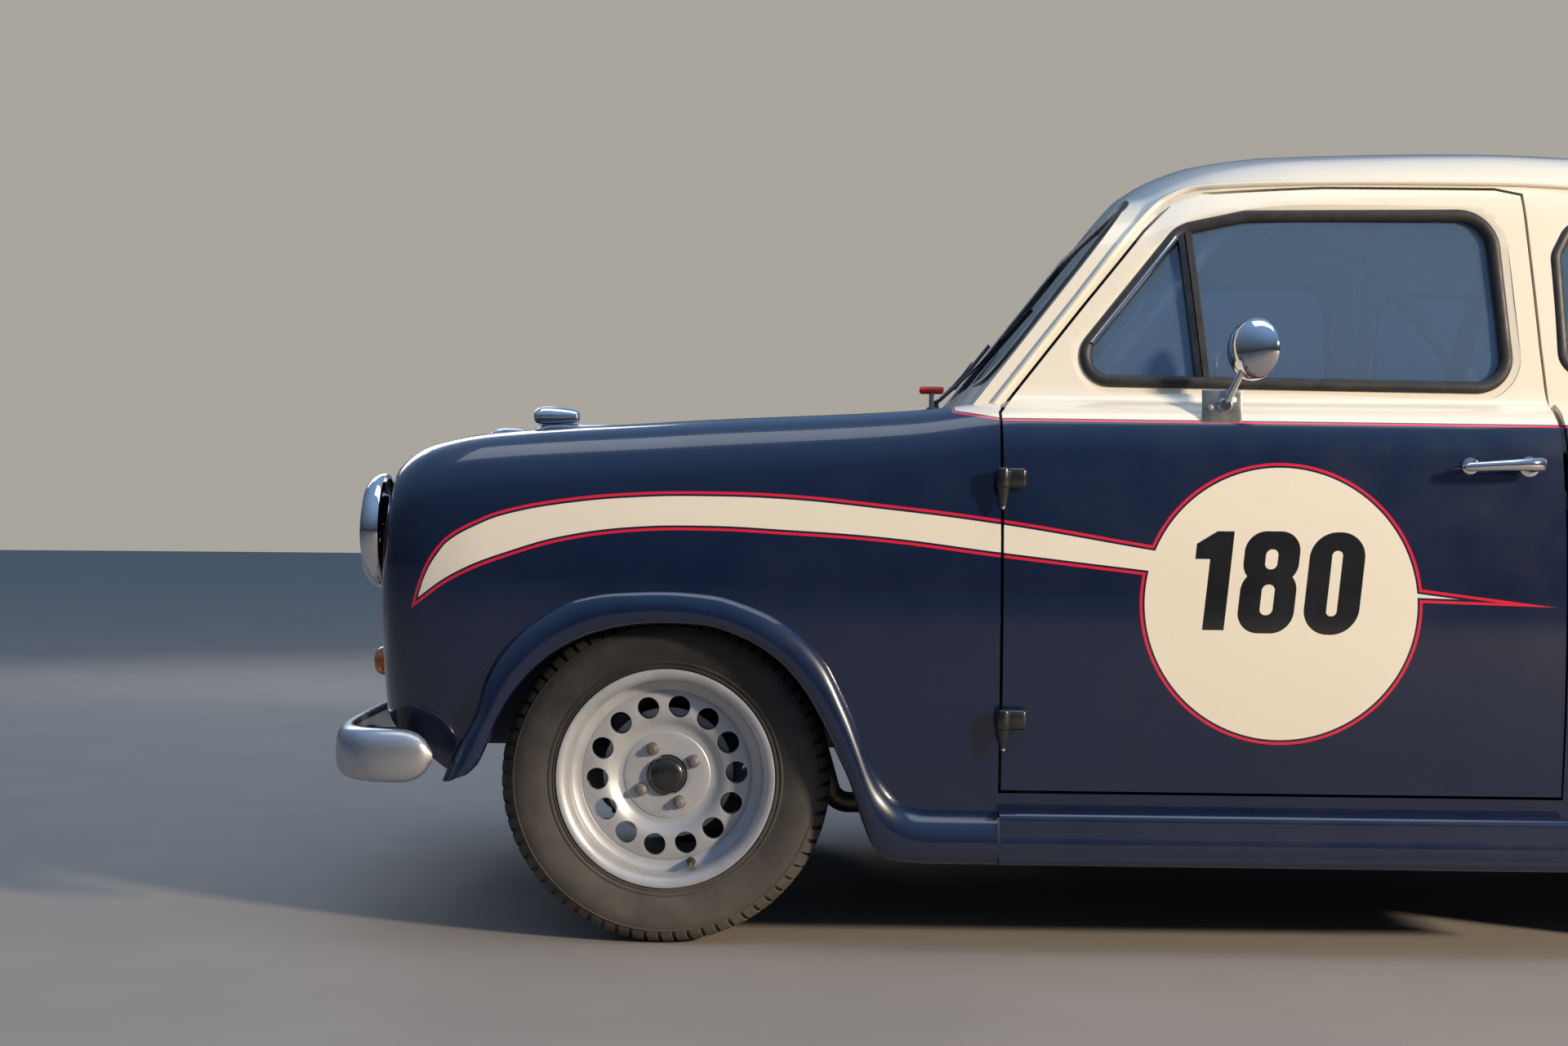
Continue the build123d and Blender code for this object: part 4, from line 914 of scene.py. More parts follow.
gloss = spread(used_finish, object_noise(used_finish, given_in["Gloss Scale"], 6.0), 0.3, 0.7,
               given_in["Least Roughness"], given_in["Most Roughness"])
relief = bumped(used_finish, object_noise(used_finish, given_in["Bump Scale"], 3.0), given_in["Bump"],
                0.0006)
joined(used_finish, (mixed(used_finish, mask, clean, (0.30, 0.25, 0.19)), given_out["Color"]),
       (gloss, given_out["Roughness"]), (relief, given_out["Normal"]))


def surface(name, colours, roughness, metal=0.0, scale=30.0, bump=0.0, bump_scale=200.0, coat=0.0, film=0.0):
    """Material between two tones with uneven gloss, fine bump and road film near the ground."""
    material, tree, shader = new_material(name)
    group = tree.nodes.new("ShaderNodeGroup")
    group.node_tree = used_finish
    values = (*colours, scale, scale * 0.4, *roughness, bump, bump_scale, film)
    for socket, value in zip(group.inputs, values):
        fed(tree, socket, value)
    joined(tree, (group.outputs["Color"], shader.inputs["Base Color"]),
           (group.outputs["Roughness"], shader.inputs["Roughness"]),
           (group.outputs["Normal"], shader.inputs["Normal"]))
    held(shader, {"Metallic": metal, "Coat Weight": coat})
    return material


chrome = surface("bright_chrome", ((0.78, 0.78, 0.79), (0.70, 0.70, 0.71)), (0.04, 0.12), 1.0, 18.0)
silver = surface("satin_silver_paint", ((0.50, 0.51, 0.53), (0.43, 0.44, 0.46)), (0.34, 0.48), 0.35, 22.0,
                 0.05, 260.0, 0.15, 0.35)
bumper_silver = surface("bumper_silver", ((0.55, 0.56, 0.58), (0.47, 0.48, 0.50)), (0.22, 0.34), 0.75, 12.0,
                        0.02, 90.0, 0.2, 0.25)
black_enamel = surface("black_enamel", ((0.009, 0.009, 0.01), (0.016, 0.016, 0.017)), (0.16, 0.34), 0.0,
                       40.0, 0.03, 300.0, 0.6)
rubber = surface("black_rubber", ((0.012, 0.012, 0.013), (0.022, 0.022, 0.023)), (0.42, 0.62), 0.0, 60.0,
                 0.08, 420.0)
tyre_rubber = surface("tyre_rubber", ((0.013, 0.013, 0.014), (0.024, 0.023, 0.022)), (0.55, 0.78), 0.0, 26.0,
                      0.15, 500.0, 0.0, 0.5)
chassis_black = surface("chassis_black", ((0.015, 0.015, 0.015), (0.03, 0.028, 0.026)), (0.5, 0.8), 0.0,
                        12.0, 0.25, 120.0, 0.0, 0.7)
bare_steel = surface("bare_steel", ((0.34, 0.33, 0.32), (0.22, 0.19, 0.16)), (0.35, 0.6), 0.9, 16.0, 0.15,
                     150.0, 0.0, 0.3)
cast_iron = surface("cast_iron", ((0.06, 0.075, 0.07), (0.11, 0.10, 0.09)), (0.5, 0.75), 0.2, 30.0, 0.4,
                    240.0, 0.0, 0.4)
cage_paint = surface("cage_paint", ((0.42, 0.43, 0.44), (0.36, 0.37, 0.38)), (0.3, 0.45), 0.1, 20.0, 0.04,
                     200.0, 0.3)
brushed_plate = surface("brushed_plate", ((0.55, 0.55, 0.54), (0.44, 0.44, 0.44)), (0.22, 0.4), 1.0, 60.0,
                        0.1, 300.0)
trim_cloth = surface("black_trim_cloth", ((0.012, 0.012, 0.013), (0.02, 0.02, 0.022)), (0.7, 0.9), 0.0, 90.0,
                     0.5, 700.0)
red_plastic = surface("red_plastic", ((0.78, 0.035, 0.015), (0.62, 0.025, 0.012)), (0.3, 0.42), 0.0, 50.0,
                      0.05, 300.0)
brass = surface("brass", ((0.72, 0.52, 0.22), (0.55, 0.36, 0.14)), (0.25, 0.4), 1.0, 80.0)
dark_room = surface("interior_navy", ((0.006, 0.013, 0.05), (0.009, 0.018, 0.06)), (0.3, 0.5), 0.0, 20.0,
                    0.05, 200.0, 0.3)


# Window glass: its blue base colour is a painted reflection of the sky; the noise only varies its roughness
# into a smeared haze.
glass_with_painted_sky, tree, shader = new_material("glass_with_painted_sky")
held(shader, {"Base Color": (0.36, 0.55, 0.80, 1), "Transmission Weight": 0.86, "IOR": 1.5,
              "Coat Weight": 1.0})
smears = object_noise(tree, 7.0, 8.0, 0.7)
joined(tree, (spread(tree, smears, 0.45, 0.8, 0.03, 0.09), shader.inputs["Roughness"]))


def given(material, *names):
    """Give CAD nodes a finish."""
    for name in names:
        nodes[name].data.materials.clear()
        nodes[name].data.materials.append(material)


given(body_paint, "floor", "boot_floor")
given(dark_room, "front_frame")
given(chassis_black, "front_suspension", "knuckle_left", "knuckle_right", "rear_axle", "propeller_shaft")
given(cast_iron, "engine", "gearbox")
given(bare_steel, "exhaust")
given(cage_paint, "roll_cage")
given(glass_with_painted_sky, "quarter_glass", "windscreen", "rear_window")
given(black_enamel, "grille")
given(chassis_black, "dashboard")


# Road wheels: pressed steel disc in a rolled rim, with a ring of vent holes, four nuts and a black cap.
# The rim's seam, the hub pad and a rubber valve show as on the real wheel.
WHEEL_Z = 0.275
WHEELBASE, FRONT_TRACK, REAR_TRACK = 2019, 1149, 1137
VENT_HOLES = 14
NUT_ANGLES = (28, 119.5, 210, 295.4)


def spun(name, profile, place, steps=128, closed=False):
    """Ring turned about the wheel's axis from (radius, outward) points in millimetres."""
    tool = bmesh.new()
    ring = [tool.verts.new((r * MM, y * MM, 0)) for r, y in profile]
    edges = [tool.edges.new((a, b)) for a, b in zip(ring, ring[1:])]
    if closed:
        edges.append(tool.edges.new((ring[-1], ring[0])))
    bmesh.ops.spin(tool, geom=ring + edges, cent=(0, 0, 0), axis=(0, 1, 0), angle=math.tau, steps=steps)
    bmesh.ops.remove_doubles(tool, verts=tool.verts, dist=1e-6)
    bmesh.ops.recalc_face_normals(tool, faces=tool.faces)
    mesh = bpy.data.meshes.new(name)
    tool.to_mesh(mesh)
    tool.free()
    mesh.transform(Matrix.Translation(place))
    return linked(name, mesh)


def merged(name, pieces):
    """Several pieces joined as one."""
    bpy.ops.object.select_all(action="DESELECT")
    for piece in pieces:
        piece.select_set(True)
    bpy.context.view_layer.objects.active = pieces[0]
    bpy.ops.object.join()
    pieces[0].name = name
    return pieces[0]


RIM = [(20, -40), (110, -40), (111, -2), (120, 2), (150, 8), (155, 4), (156, -50), (166, -64), (180, -69.5),
       (182.3, -68), (182.3, -64), (170, -60), (166, -56), (166, 56), (169.5, 60.5), (178.5, 64.3),
       (181.8, 67.2), (181.2, 69.4), (177.5, 69.6), (170, 66.2), (165, 61.4), (162, 54), (160.6, 44),
       (159.6, 30), (158.2, 24.5), (153, 21.5), (147, 19.8), (144.2, 19.4), (143.2, 18.4), (142, 19.5),
       (137, 21.2), (129, 23.2), (120, 24.4), (111, 24.2), (102, 22.6), (95, 19.4), (89, 15), (84, 11.6),
       (79, 10.2), (73.4, 10), (72.2, 11.2), (70.8, 11.6), (60, 11.7), (40, 11.8), (34, 11.8), (34, 6),
       (20, 6)]
TYRE_SIDE = [(165.2, 50), (167, 60), (172, 64.5), (177, 66.3), (179.4, 66.8), (180.6, 65.4), (182.6, 65.6),
             (184, 67.8), (186.6, 68), (188, 66.8), (190, 67.2), (191.4, 69), (194, 69.2), (195.6, 68.2),
             (203, 70.6), (213, 73), (223, 74.4), (233, 74.8), (241, 74.2), (247, 72.6), (250.4, 71.2),
             (251.2, 72.2), (252.6, 71.9), (253.2, 70.2), (257, 68.4), (262, 65.2), (266.5, 61),
             (270, 56.4), (272.4, 51), (273.6, 44), (273.9, 36), (273.9, 34), (268.4, 33), (268.4, 30),
             (274.3, 29), (274.8, 22), (274.9, 10), (274.9, 7), (268.8, 6), (268.8, 3), (268.8, 0)]
BLOCKS = 68


def tyre_mesh(name, place):
    """Tyre with shoulder blocks parted by slanted grooves, three running grooves and moulded bead ribs."""
    profile = np.array(TYRE_SIDE + [(r, -y) for r, y in TYRE_SIDE[-2::-1]], float)
    shares = np.array([0.0, 0.11, 0.16, 0.5, 0.84, 0.89])
    depth_at = np.array([1, 1, 0, 0, 0, 1.0])
    turns = ((np.arange(BLOCKS)[:, None] + shares) / BLOCKS * math.tau).ravel()
    cuts = np.tile(depth_at, BLOCKS)
    r, y = profile[:, 0], profile[:, 1]
    reach = np.clip((r - 254) / 12, 0, 1) * (np.abs(y) > 33.5)
    radius = r[None, :] - cuts[:, None] * reach[None, :] * 6.0
    groove = np.clip((r - 254) / 6, 0, 1) * (np.abs(y) > 50)
    width = y[None, :] - np.sign(y)[None, :] * cuts[:, None] * groove * 1.8
    slant = np.clip((np.abs(y) - 30) / 40, 0, 1) * np.sign(y) * 0.03
    angle = turns[:, None] + slant[None, :]
    grid = np.stack([radius * np.cos(angle), width, radius * np.sin(angle)], axis=-1) * MM + np.array(place)
    index = numbered(grid)
    after = np.roll(index, -1, axis=0)
    quads = quads_of(index[:, :-1], after[:, :-1], after[:, 1:], index[:, 1:])
    quads += quads_of(index[:, -1], after[:, -1], after[:, 0], index[:, 0])
    return solid_from(name, grid.reshape(-1, 3).tolist(), quads)


def tube_between(start, end, radius, vertices=24, small=None):
    """Round bar or taper between two points."""
    start, end = Vector(start), Vector(end)
    middle, way = (start + end) / 2, end - start
    turn = way.to_track_quat("Z", "Y").to_euler()
    bpy.ops.mesh.primitive_cone_add(vertices=vertices, radius1=radius,
                                    radius2=radius if small is None else small,
                                    depth=way.length, location=middle, rotation=turn)
    return bpy.context.object


def bevelled(piece, width, segments=2, angle=40):
    """Rounded edges."""
    edge = piece.modifiers.new("edge", "BEVEL")
    edge.width, edge.segments = width, segments
    edge.limit_method, edge.angle_limit = "ANGLE", math.radians(angle)
    applied(piece)
    return piece


def placed(piece, name):
    """Carry a piece's place and turn into its mesh, and name it."""
    piece.data.transform(piece.matrix_world)
    piece.matrix_world = Matrix.Identity(4)
    piece.name = name
    return piece


def spot(s, y, z):
    """Point in metres from a station, side and height in millimetres."""
    return at(s), y * MM, z * MM


def rod(name, start, end, radius, vertices=24, small=None, edge=0.0, segments=2):
    """Round bar or taper between two points, its edges rounded where an edge is given."""
    piece = tube_between(start, end, radius, vertices, small)
    if edge:
        bevelled(piece, edge, segments)
    return placed(piece, name)


def road_wheel(position, x, track):
    """Wheel, nuts, cap, valve and tyre on the left; each is mirrored to the right."""
    place = Vector((x, track / 2 * MM, WHEEL_Z))
    wheel = spun(f"wheel_{position}_left", RIM, place, 128, True)
    for turn in range(VENT_HOLES):
        angle = math.radians(80.5 + turn * 360 / VENT_HOLES)
        hole = place + Vector((-0.117 * math.cos(angle), 0.01, 0.117 * math.sin(angle)))
        bpy.ops.mesh.primitive_cylinder_add(vertices=40, radius=0.0186, depth=0.07,
                                            rotation=(math.pi / 2, 0, 0), location=hole)
        cut(wheel, bpy.context.object, "DIFFERENCE")
    bevelled(wheel, 0.0007, 2, 50)
    nuts = []
    for degrees in NUT_ANGLES:
        angle = math.radians(degrees)
        centre = place + Vector((-0.05 * math.cos(angle), 0.011, 0.05 * math.sin(angle)))
        nuts.append(bevelled(
            tube_between(centre, centre + Vector((0, 0.009, 0)), 0.0115, 32, 0.0098), 0.0014))
        nuts.append(bevelled(
            tube_between(centre + Vector((0, 0.004, 0)), centre + Vector((0, 0.016, 0)), 0.0072, 6), 0.0008))
        nuts.append(
            tube_between(centre + Vector((0, 0.012, 0)), centre + Vector((0, 0.0185, 0)), 0.0042, 16))
    name = f"wheel_nuts_{position}_left"
    nuts = placed(merged(name, [placed(nut, name) for nut in nuts]), name)
    cap = spun(f"wheel_cap_{position}_left",
               [(0, 30), (10, 29.7), (19, 28.8), (26, 26.6), (28.4, 24.6), (29, 22.8), (30.8, 21.4),
                (31.6, 17), (31.8, 11), (20, 11), (0, 11)], place, 64)
    angle = math.radians(-73.5)
    root = place + Vector((-0.1505 * math.cos(angle), 0.02, 0.1505 * math.sin(angle)))
    foot, neck, end = (root + Vector((0, reach, 0)) for reach in (0.022, 0.024, 0.036))
    stem = rod(f"valve_stem_{position}_left", root, neck, 0.0078, 24, 0.0046)
    tip = rod(f"valve_cap_{position}_left", foot, end, 0.0036, 20, 0.003, 0.0006)
    tyre = tyre_mesh(f"tyre_{position}_left_tread", place)
    rows = ((wheel, "silver_wheel", silver, f"wheel_{position}_left"),
            (nuts, "silver_wheel", bare_steel, None), (cap, "black_steel", black_enamel, None),
            (stem, "black_rubber", rubber, None), (tip, "silver_wheel", brass, None),
            (tyre, "tyre_rubber", tyre_rubber, f"tyre_{position}_left"))
    for piece, slot, material, node in rows:
        smoothed(piece, 35)
        for name, side in ((piece.name, "left"), (piece.name.replace("left", "right"), "right")):
            one = piece if side == "left" else mirrored(piece, name)
            finished(one, f"{position}_wheel_{side}", slot, material)
            if node:
                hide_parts(node.replace("left", side))


road_wheel("front", at(0), FRONT_TRACK)
road_wheel("rear", at(WHEELBASE), REAR_TRACK)


# Glazing: black rubber seals pressed round each opening, and door glass that follows the curve of the frame.
# The cream drip rail runs up the front pillar, over the doors and down behind the rear side windows.
SEAL_SHAPE = [(3, -5), (4, -1), (2.6, 1.4), (-1, 3.2), (-5, 3.8), (-10, 3.0), (-14, 0.6), (-16, -3),
              (-16, -13), (0, -14)]
STEP_SHAPE = [(17, 6), (17, -0.2), (4, -3.2), (-8, -3.6), (-8, 6)]


def side_reader(grid):
    """Width of a skin grid at a station and height, on its side wall."""
    stations = (AXLE_X - grid[:, 0, 0]) / MM
    tables = []
    for row in grid:
        z, y = row[:, 2] / MM, row[:, 1] / MM
        top = int(np.argmax(z))
        keep = np.maximum.accumulate(z[:top + 1]) + np.arange(top + 1) * 1e-6
        tables.append((keep, y[:top + 1]))

    def width(s, z):
        """Width between the two nearest rows."""
        i = int(np.clip(np.searchsorted(stations, s) - 1, 0, len(stations) - 2))
        t = (s - stations[i]) / (stations[i + 1] - stations[i])
        a, b = (float(np.interp(z, *tables[k])) for k in (i, i + 1))
        return a + (b - a) * t
    return width


def ring_of(name, rings, closed=True):
    """Closed ring or capped bar through a grid of section loops."""
    grid = np.array(rings)
    index = numbered(grid)
    after = np.roll(index, -1, axis=0)
    last = None if closed else -1
    quads = quads_of(*(part[:last] for part in (index, after, np.roll(after, -1, axis=1),
                                                np.roll(index, -1, axis=1))))
    if not closed:
        quads += [index[0].tolist()[::-1], index[-1].tolist()]
    return solid_from(name, grid.reshape(-1, 3).tolist(), quads)


def outward(points, closed=True):
    """Unit normals of an outline, away from its middle."""
    points = np.array(points, float)
    if closed:
        step = np.roll(points, -1, axis=0) - np.roll(points, 1, axis=0)
    else:
        step = np.gradient(points, axis=0)
    normal = np.column_stack([step[:, 1], -step[:, 0]])
    normal /= np.linalg.norm(normal, axis=1)[:, None]
    middle = points.mean(axis=0)
    if ((points - middle) * normal).sum() < 0:
        normal = -normal
    return points, normal


def side_strip(name, outline, shape, width, closed=True):
    """Strip of a given section along a side-view outline, lying on the skin."""
    points, normals = outward(outline, closed)
    rings = []
    for p, n in zip(points, normals):
        y = width(*p)
        rings.append([(at(p[0] + n[0] * d), (y + h) * MM, (p[1] + n[1] * d) * MM) for d, h in shape])
    return ring_of(name, rings, closed)


def screen_strip(name, outline, shape, place, bowed):
    """Strip round a screen opening, lying on its plane or bow."""
    points, normals = outward(outline)
    rings = []
    for p, n in zip(points, normals):
        ring = []
        for d, h in shape:
            a, b = p + n * d
            rise = bow_rise(a) if bowed else 0.0
            ring.append(place @ Vector((a * MM, b * MM, (h + rise) * MM)))
        rings.append(ring)
    return ring_of(name, rings)


DOORS = ("door_left", "door_right")
cabin_width = side_reader(cabin_half[:, :DOOR_COLUMNS])
roof_width = side_reader(roof_grid)
window_line = rounded_outline(WINDOW_OUTLINE, WINDOW_RADII, 14)
for piece, flip in ((bpy.data.objects["door_left_skin"], 1), (bpy.data.objects["door_right_skin"], -1)):
    step = side_strip("cutter", window_line, STEP_SHAPE, cabin_width)
    step.data.transform(Matrix.Scale(flip, 4, (0, 1, 0)))
    if flip < 0:
        step.data.flip_normals()
    smoothed(cut(piece, step, "DIFFERENCE"))
both(side_strip("door_window_seal_left", window_line, SEAL_SHAPE, cabin_width), DOORS, "black_rubber",
     rubber)
quarter_line = rounded_outline(QUARTER_OUTLINE, QUARTER_ROUND, 12)
both(side_strip("quarter_window_seal_left", quarter_line, SEAL_SHAPE, roof_width), "root", "black_rubber",
     rubber)
SCREEN_SEAL = [(5, -3), (6, 1), (4, 4.5), (0, 6), (-6, 6.4), (-11, 5), (-15, 2), (-16, -3), (-16, -14),
               (0, -14)]
for name, outline, place, bowed in (("windscreen_seal", WINDSCREEN, windscreen_place, True),
                                     ("rear_screen_seal", REAR_SCREEN, rear_place, False)):
    seal = screen_strip(name, rounded_outline(outline, SCREEN_ROUND, 14), SCREEN_SEAL, place, bowed)
    smoothed(seal, 40)
    finished(seal, "root", "black_rubber", rubber)

glass_rows = grid_of(cabin_stations, [drawn_in(row[:, 1:] / MM, 12)[1:] for row in cabin_half])
door_glass = sheet_object("door_window_left", glass_rows[:, :GLASS_COLUMNS], 0.004)
cut(door_glass, prism(rounded_outline(grown(WINDOW_OUTLINE, 3), WINDOW_RADII, 8), "Y", 400, 900),
    "INTERSECT")
both(door_glass, DOORS, "clear_glass", glass_with_painted_sky, "door_glass_left", 30)

RAIL = [(536, 897), (678, 1078), (790, 1218), (841, 1266), (896, 1286), (1000, 1290), (1200, 1293),
        (1390, 1293), (1560, 1286), (1700, 1268), (1830, 1231), (1930, 1166), (2000, 1088), (2060, 996)]
RAIL_SHAPE = [(-3.5, -3), (-3.5, 3), (-2.5, 6.5), (-0.5, 8.4), (2.5, 8.6), (5, 6.8), (6.5, 3), (7.5, -3)]
both(side_strip("drip_rail_left", evenly(RAIL, 160), RAIL_SHAPE, roof_width, False), "root", "cream_paint",
     body_paint)
for name, shift, half, proud, finish in (("quarterlight_bar", -7, 6.5, -1, black_enamel),
                                         ("run_channel", 6, 6.5, -3, rubber)):
    line = np.linspace((864 + shift, 1206), (891 + shift, 944), 12)
    shape = [(-half, -17), (-half, proud - 3), (1.5 - half, proud), (half - 1.5, proud), (half, proud - 3),
             (half, -17)]
    both(side_strip(name + "_left", line, shape, cabin_width, False), DOORS, "black_rubber", finish)
strip_line = np.linspace((700, 1014), (846, 1198), 16)
strip_shape = [(-9.5, 2), (-9.5, 4.4), (-8, 6.2), (-4.5, 6.2), (-3, 4.4), (-3, 2)]
both(side_strip("quarterlight_trim_left", strip_line, strip_shape, cabin_width, False), DOORS,
     "bright_chrome", chrome)


# Front end: grille opening, deep chrome headlamp rims with fluted glass, amber indicators.
# Chrome torpedo lamps stand on the wing tops and a plain streamlined ornament on the bonnet.
def front_prism(outline, low, high):
    """Closed cutter with a (side, height) outline between two stations."""
    rings = [[(at(s), y * MM, z * MM) for y, z in outline] for s in (low, high)]
    return closed_volume("cutter", np.array(rings))


def turned(name, profile, centre, steps=64, tilt=0.0):
    """Piece turned about an axis that points forward, from (forward, radius) points in millimetres."""
    piece = spun(name, [(r, a) for a, r in profile], (0, 0, 0), steps)
    turn = Matrix.Rotation(tilt, 4, "Z") @ Matrix.Rotation(-math.pi / 2, 4, "Z")
    piece.data.transform(Matrix.Translation(Vector(centre) * MM) @ turn)
    return piece


def carried(name, rows, steps=16):
    """Smooth bar through (station, side, height, half width, half height) sections."""
    turns = np.linspace(0, math.tau, steps, endpoint=False)
    rings = [[(at(s), (y + w * math.cos(t)) * MM, (z + h * math.sin(t)) * MM) for t in turns]
             for s, y, z, w, h in rows]
    piece = ring_of(name, rings, False)
    smoothed(piece, 50)
    return piece


GRILLE = [(-262, 455), (-285, 560), (-240, 672), (240, 672), (285, 560), (262, 455)]
cut(front_panel, front_prism(rounded_outline(GRILLE, 38), -600, -300), "DIFFERENCE")

FORWARD = 1147.0
LAMP = (FORWARD, 515, 679)
rim = turned("headlamp_rim_left", [(486, 89), (488, 96.5), (492, 98.2), (500, 97), (508, 93), (514, 87.5),
                                   (518, 82), (520, 78.5), (519, 76.4), (512, 76), (505, 76)], LAMP, 96)
both(rim, "root", "bright_chrome", chrome)
lens_piece = turned("headlamp_lens_left",
                    [(511, 77), (516, 76), (521, 69), (525, 58), (528, 42), (529.6, 22), (530, 0)], LAMP, 96)
fluted, tree, shader = new_material("fluted_lamp_glass")
held(shader, {"Base Color": (0.96, 0.97, 0.97, 1), "Transmission Weight": 1.0, "Roughness": 0.03})
ribs = tree.nodes.new("ShaderNodeTexWave")
ribs.bands_direction = "Y"
ribs.inputs["Scale"].default_value = 36.0
joined(tree, (tree.nodes.new("ShaderNodeTexCoord").outputs["Object"], ribs.inputs["Vector"]),
       (bumped(tree, ribs.outputs["Fac"], 0.35, 0.002), shader.inputs["Normal"]))
both(lens_piece, "root", "bright_chrome", fluted)
bowl = turned("headlamp_bowl_left", [(512, 77), (500, 72), (486, 60), (474, 42), (466, 22), (463, 0)], LAMP,
              64)
both(bowl, "root", "bright_chrome", chrome)
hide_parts("headlamps")

AMBER_BASE = (FORWARD + 488, 450, 452)
amber, tree, shader = new_material("amber_lens")
tone = mixed(tree, object_noise(tree, 60.0), (0.85, 0.22, 0.01), (0.70, 0.13, 0.005))
joined(tree, (tone, shader.inputs["Base Color"]))
held(shader, {"Roughness": 0.12, "Transmission Weight": 0.35, "Coat Weight": 0.6})
base = turned("indicator_base_left", [(-14, 30), (0, 32), (5, 33), (8, 31), (9, 27), (9, 0)], AMBER_BASE)
both(base, "root", "black_rubber", rubber)
dome = turned("indicator_lens_left", [(8, 25.5), (14, 25.6), (20, 24.4), (25, 21.6), (28.6, 17), (30.8, 10),
                                      (31.6, 0)], AMBER_BASE)
both(dome, "root", "amber_lens", amber)
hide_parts("front_indicators")

torpedo = turned("wing_lamp_body_left",
                 [(244, 0), (243.4, 6), (241, 11), (236.4, 14.2), (232, 15.4), (231.4, 14.4), (230.4, 14.4),
                  (229.8, 16), (222, 17), (210, 16.8), (195, 15.4), (180, 13.2), (170, 11), (167, 9.6),
                  (165.6, 7), (165.4, 0)],
                 (FORWARD, 480, 880), 48)
both(torpedo, "root", "bright_chrome", chrome)


def skin_height(s, y):
    """Height of the wing or bonnet skin at a station and width."""
    profile = body_profile(through_rows(BODY, np.array([float(s)]))[0])
    top = profile[int(np.argmax(profile[:, 0])) + 8:]
    return float(np.interp(y, top[::-1, 0], top[::-1, 1]))


foot_rows = []
for s, half, rise in ((-241, 0.8, 2), (-238, 4, 5), (-230, 7, 10), (-215, 8, 14), (-195, 7.6, 13),
                      (-175, 6.6, 10), (-155, 5.4, 7.5), (-130, 4, 6), (-105, 2.8, 5), (-88, 1.6, 4),
                      (-84, 0.5, 3)):
    base_z = skin_height(s, 480)
    foot_rows.append((s, 480, base_z + rise / 2 - 2, half, rise / 2 + 2))
foot = carried("wing_lamp_foot_left", foot_rows)
both(foot, "root", "bright_chrome", chrome)
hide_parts("wing_lamps")

ornament_rows = [(-395, 0, 853, 0.6, 1), (-392, 0, 856, 3, 4), (-384, 0, 861, 5, 7),
                 (-372, 0, 867, 5.6, 8.6), (-358, 0, 871, 5, 7.6), (-342, 0, 872, 4, 6.4),
                 (-325, 0, 871, 3, 6), (-308, 0, 868, 2, 6), (-300, 0, 865, 0.6, 3)]
ornament = carried("bonnet_ornament_spear", ornament_rows)
finished(ornament, "bonnet", "bright_chrome", chrome, "bonnet_ornament")


# Bumpers: heavy satin-painted blades with a full, rounded section and bulbous ends, on forged irons.
# They bow gently across the car and turn back round each corner.
BLADE = [(12, 0), (11.2, 16), (9, 27), (5, 35), (-1, 40.5), (-8, 43.4), (-14, 43.8), (-17, 41), (-17, 30),
         (-17, 0), (-17, -30), (-17, -41), (-14, -43.8), (-8, -43.4), (-1, -40.5), (5, -35), (9, -27),
         (11.2, -16)]
BUMPER_Z = 311


def bumper_blade(name, half_path, node, steps=140):
    """Blade along a plan path of (station, side) points from one end to the other."""
    path = np.array(half_path + [(s, -y) for s, y in half_path[-2::-1]], float)
    points, normals = outward(evenly(path, steps), False)
    rings = []
    for i, (p, n) in enumerate(zip(points, normals)):
        edge = min(i, steps - 1 - i)
        fill = (0.2, 0.62, 0.82, 0.93, 0.985)[edge] if edge < 5 else 1.0
        rings.append([(at(p[0] + n[0] * d * fill), (p[1] + n[1] * d * fill) * MM,
                       (BUMPER_Z + z * fill) * MM) for d, z in BLADE])
    piece = ring_of(name, rings, False)
    smoothed(piece, 60)
    return finished(piece, "root", "satin_bumper", bumper_silver, node)


bumper_blade("front_bumper_blade", [(-380, 684), (-396, 688), (-430, 689), (-470, 684), (-502, 668),
                                    (-526, 640), (-543, 600), (-553, 540), (-559, 450), (-564, 300),
                                    (-567, 150), (-567, 0)], "front_bumper")
bumper_blade("rear_bumper_blade", [(2690, 668), (2715, 667), (2755, 655), (2795, 628), (2822, 590),
                                   (2838, 530), (2848, 440), (2855, 300), (2860, 150),
                                   (2861, 0)], "rear_bumper")


def solid_box(name, s, y, z, width=0.002):
    """Box between two stations, sides and heights with rounded edges."""
    bpy.ops.mesh.primitive_cube_add(size=1,
                                    location=((at(s[0]) + at(s[1])) / 2, (y[0] + y[1]) / 2 * MM,
                                              (z[0] + z[1]) / 2 * MM))
    piece = bpy.context.object
    piece.scale = (abs(s[1] - s[0]) * MM, (y[1] - y[0]) * MM, (z[1] - z[0]) * MM)
    bpy.ops.object.transform_apply(location=True, rotation=True, scale=True)
    piece.name = name
    return bevelled(piece, width, 3, 30)


both(solid_box("front_bumper_iron_left", (-552, -440), (300, 340), (298, 326), 0.005), "root", "black_steel",
     chassis_black)
both(solid_box("rear_bumper_iron_left", (2700, 2848), (300, 340), (298, 326), 0.005), "root", "black_steel",
     chassis_black)
both(solid_box("rear_bumper_pad_left", (2690, 2730), (300, 340), (312, 350), 0.004), "root", "black_steel",
     chassis_black)


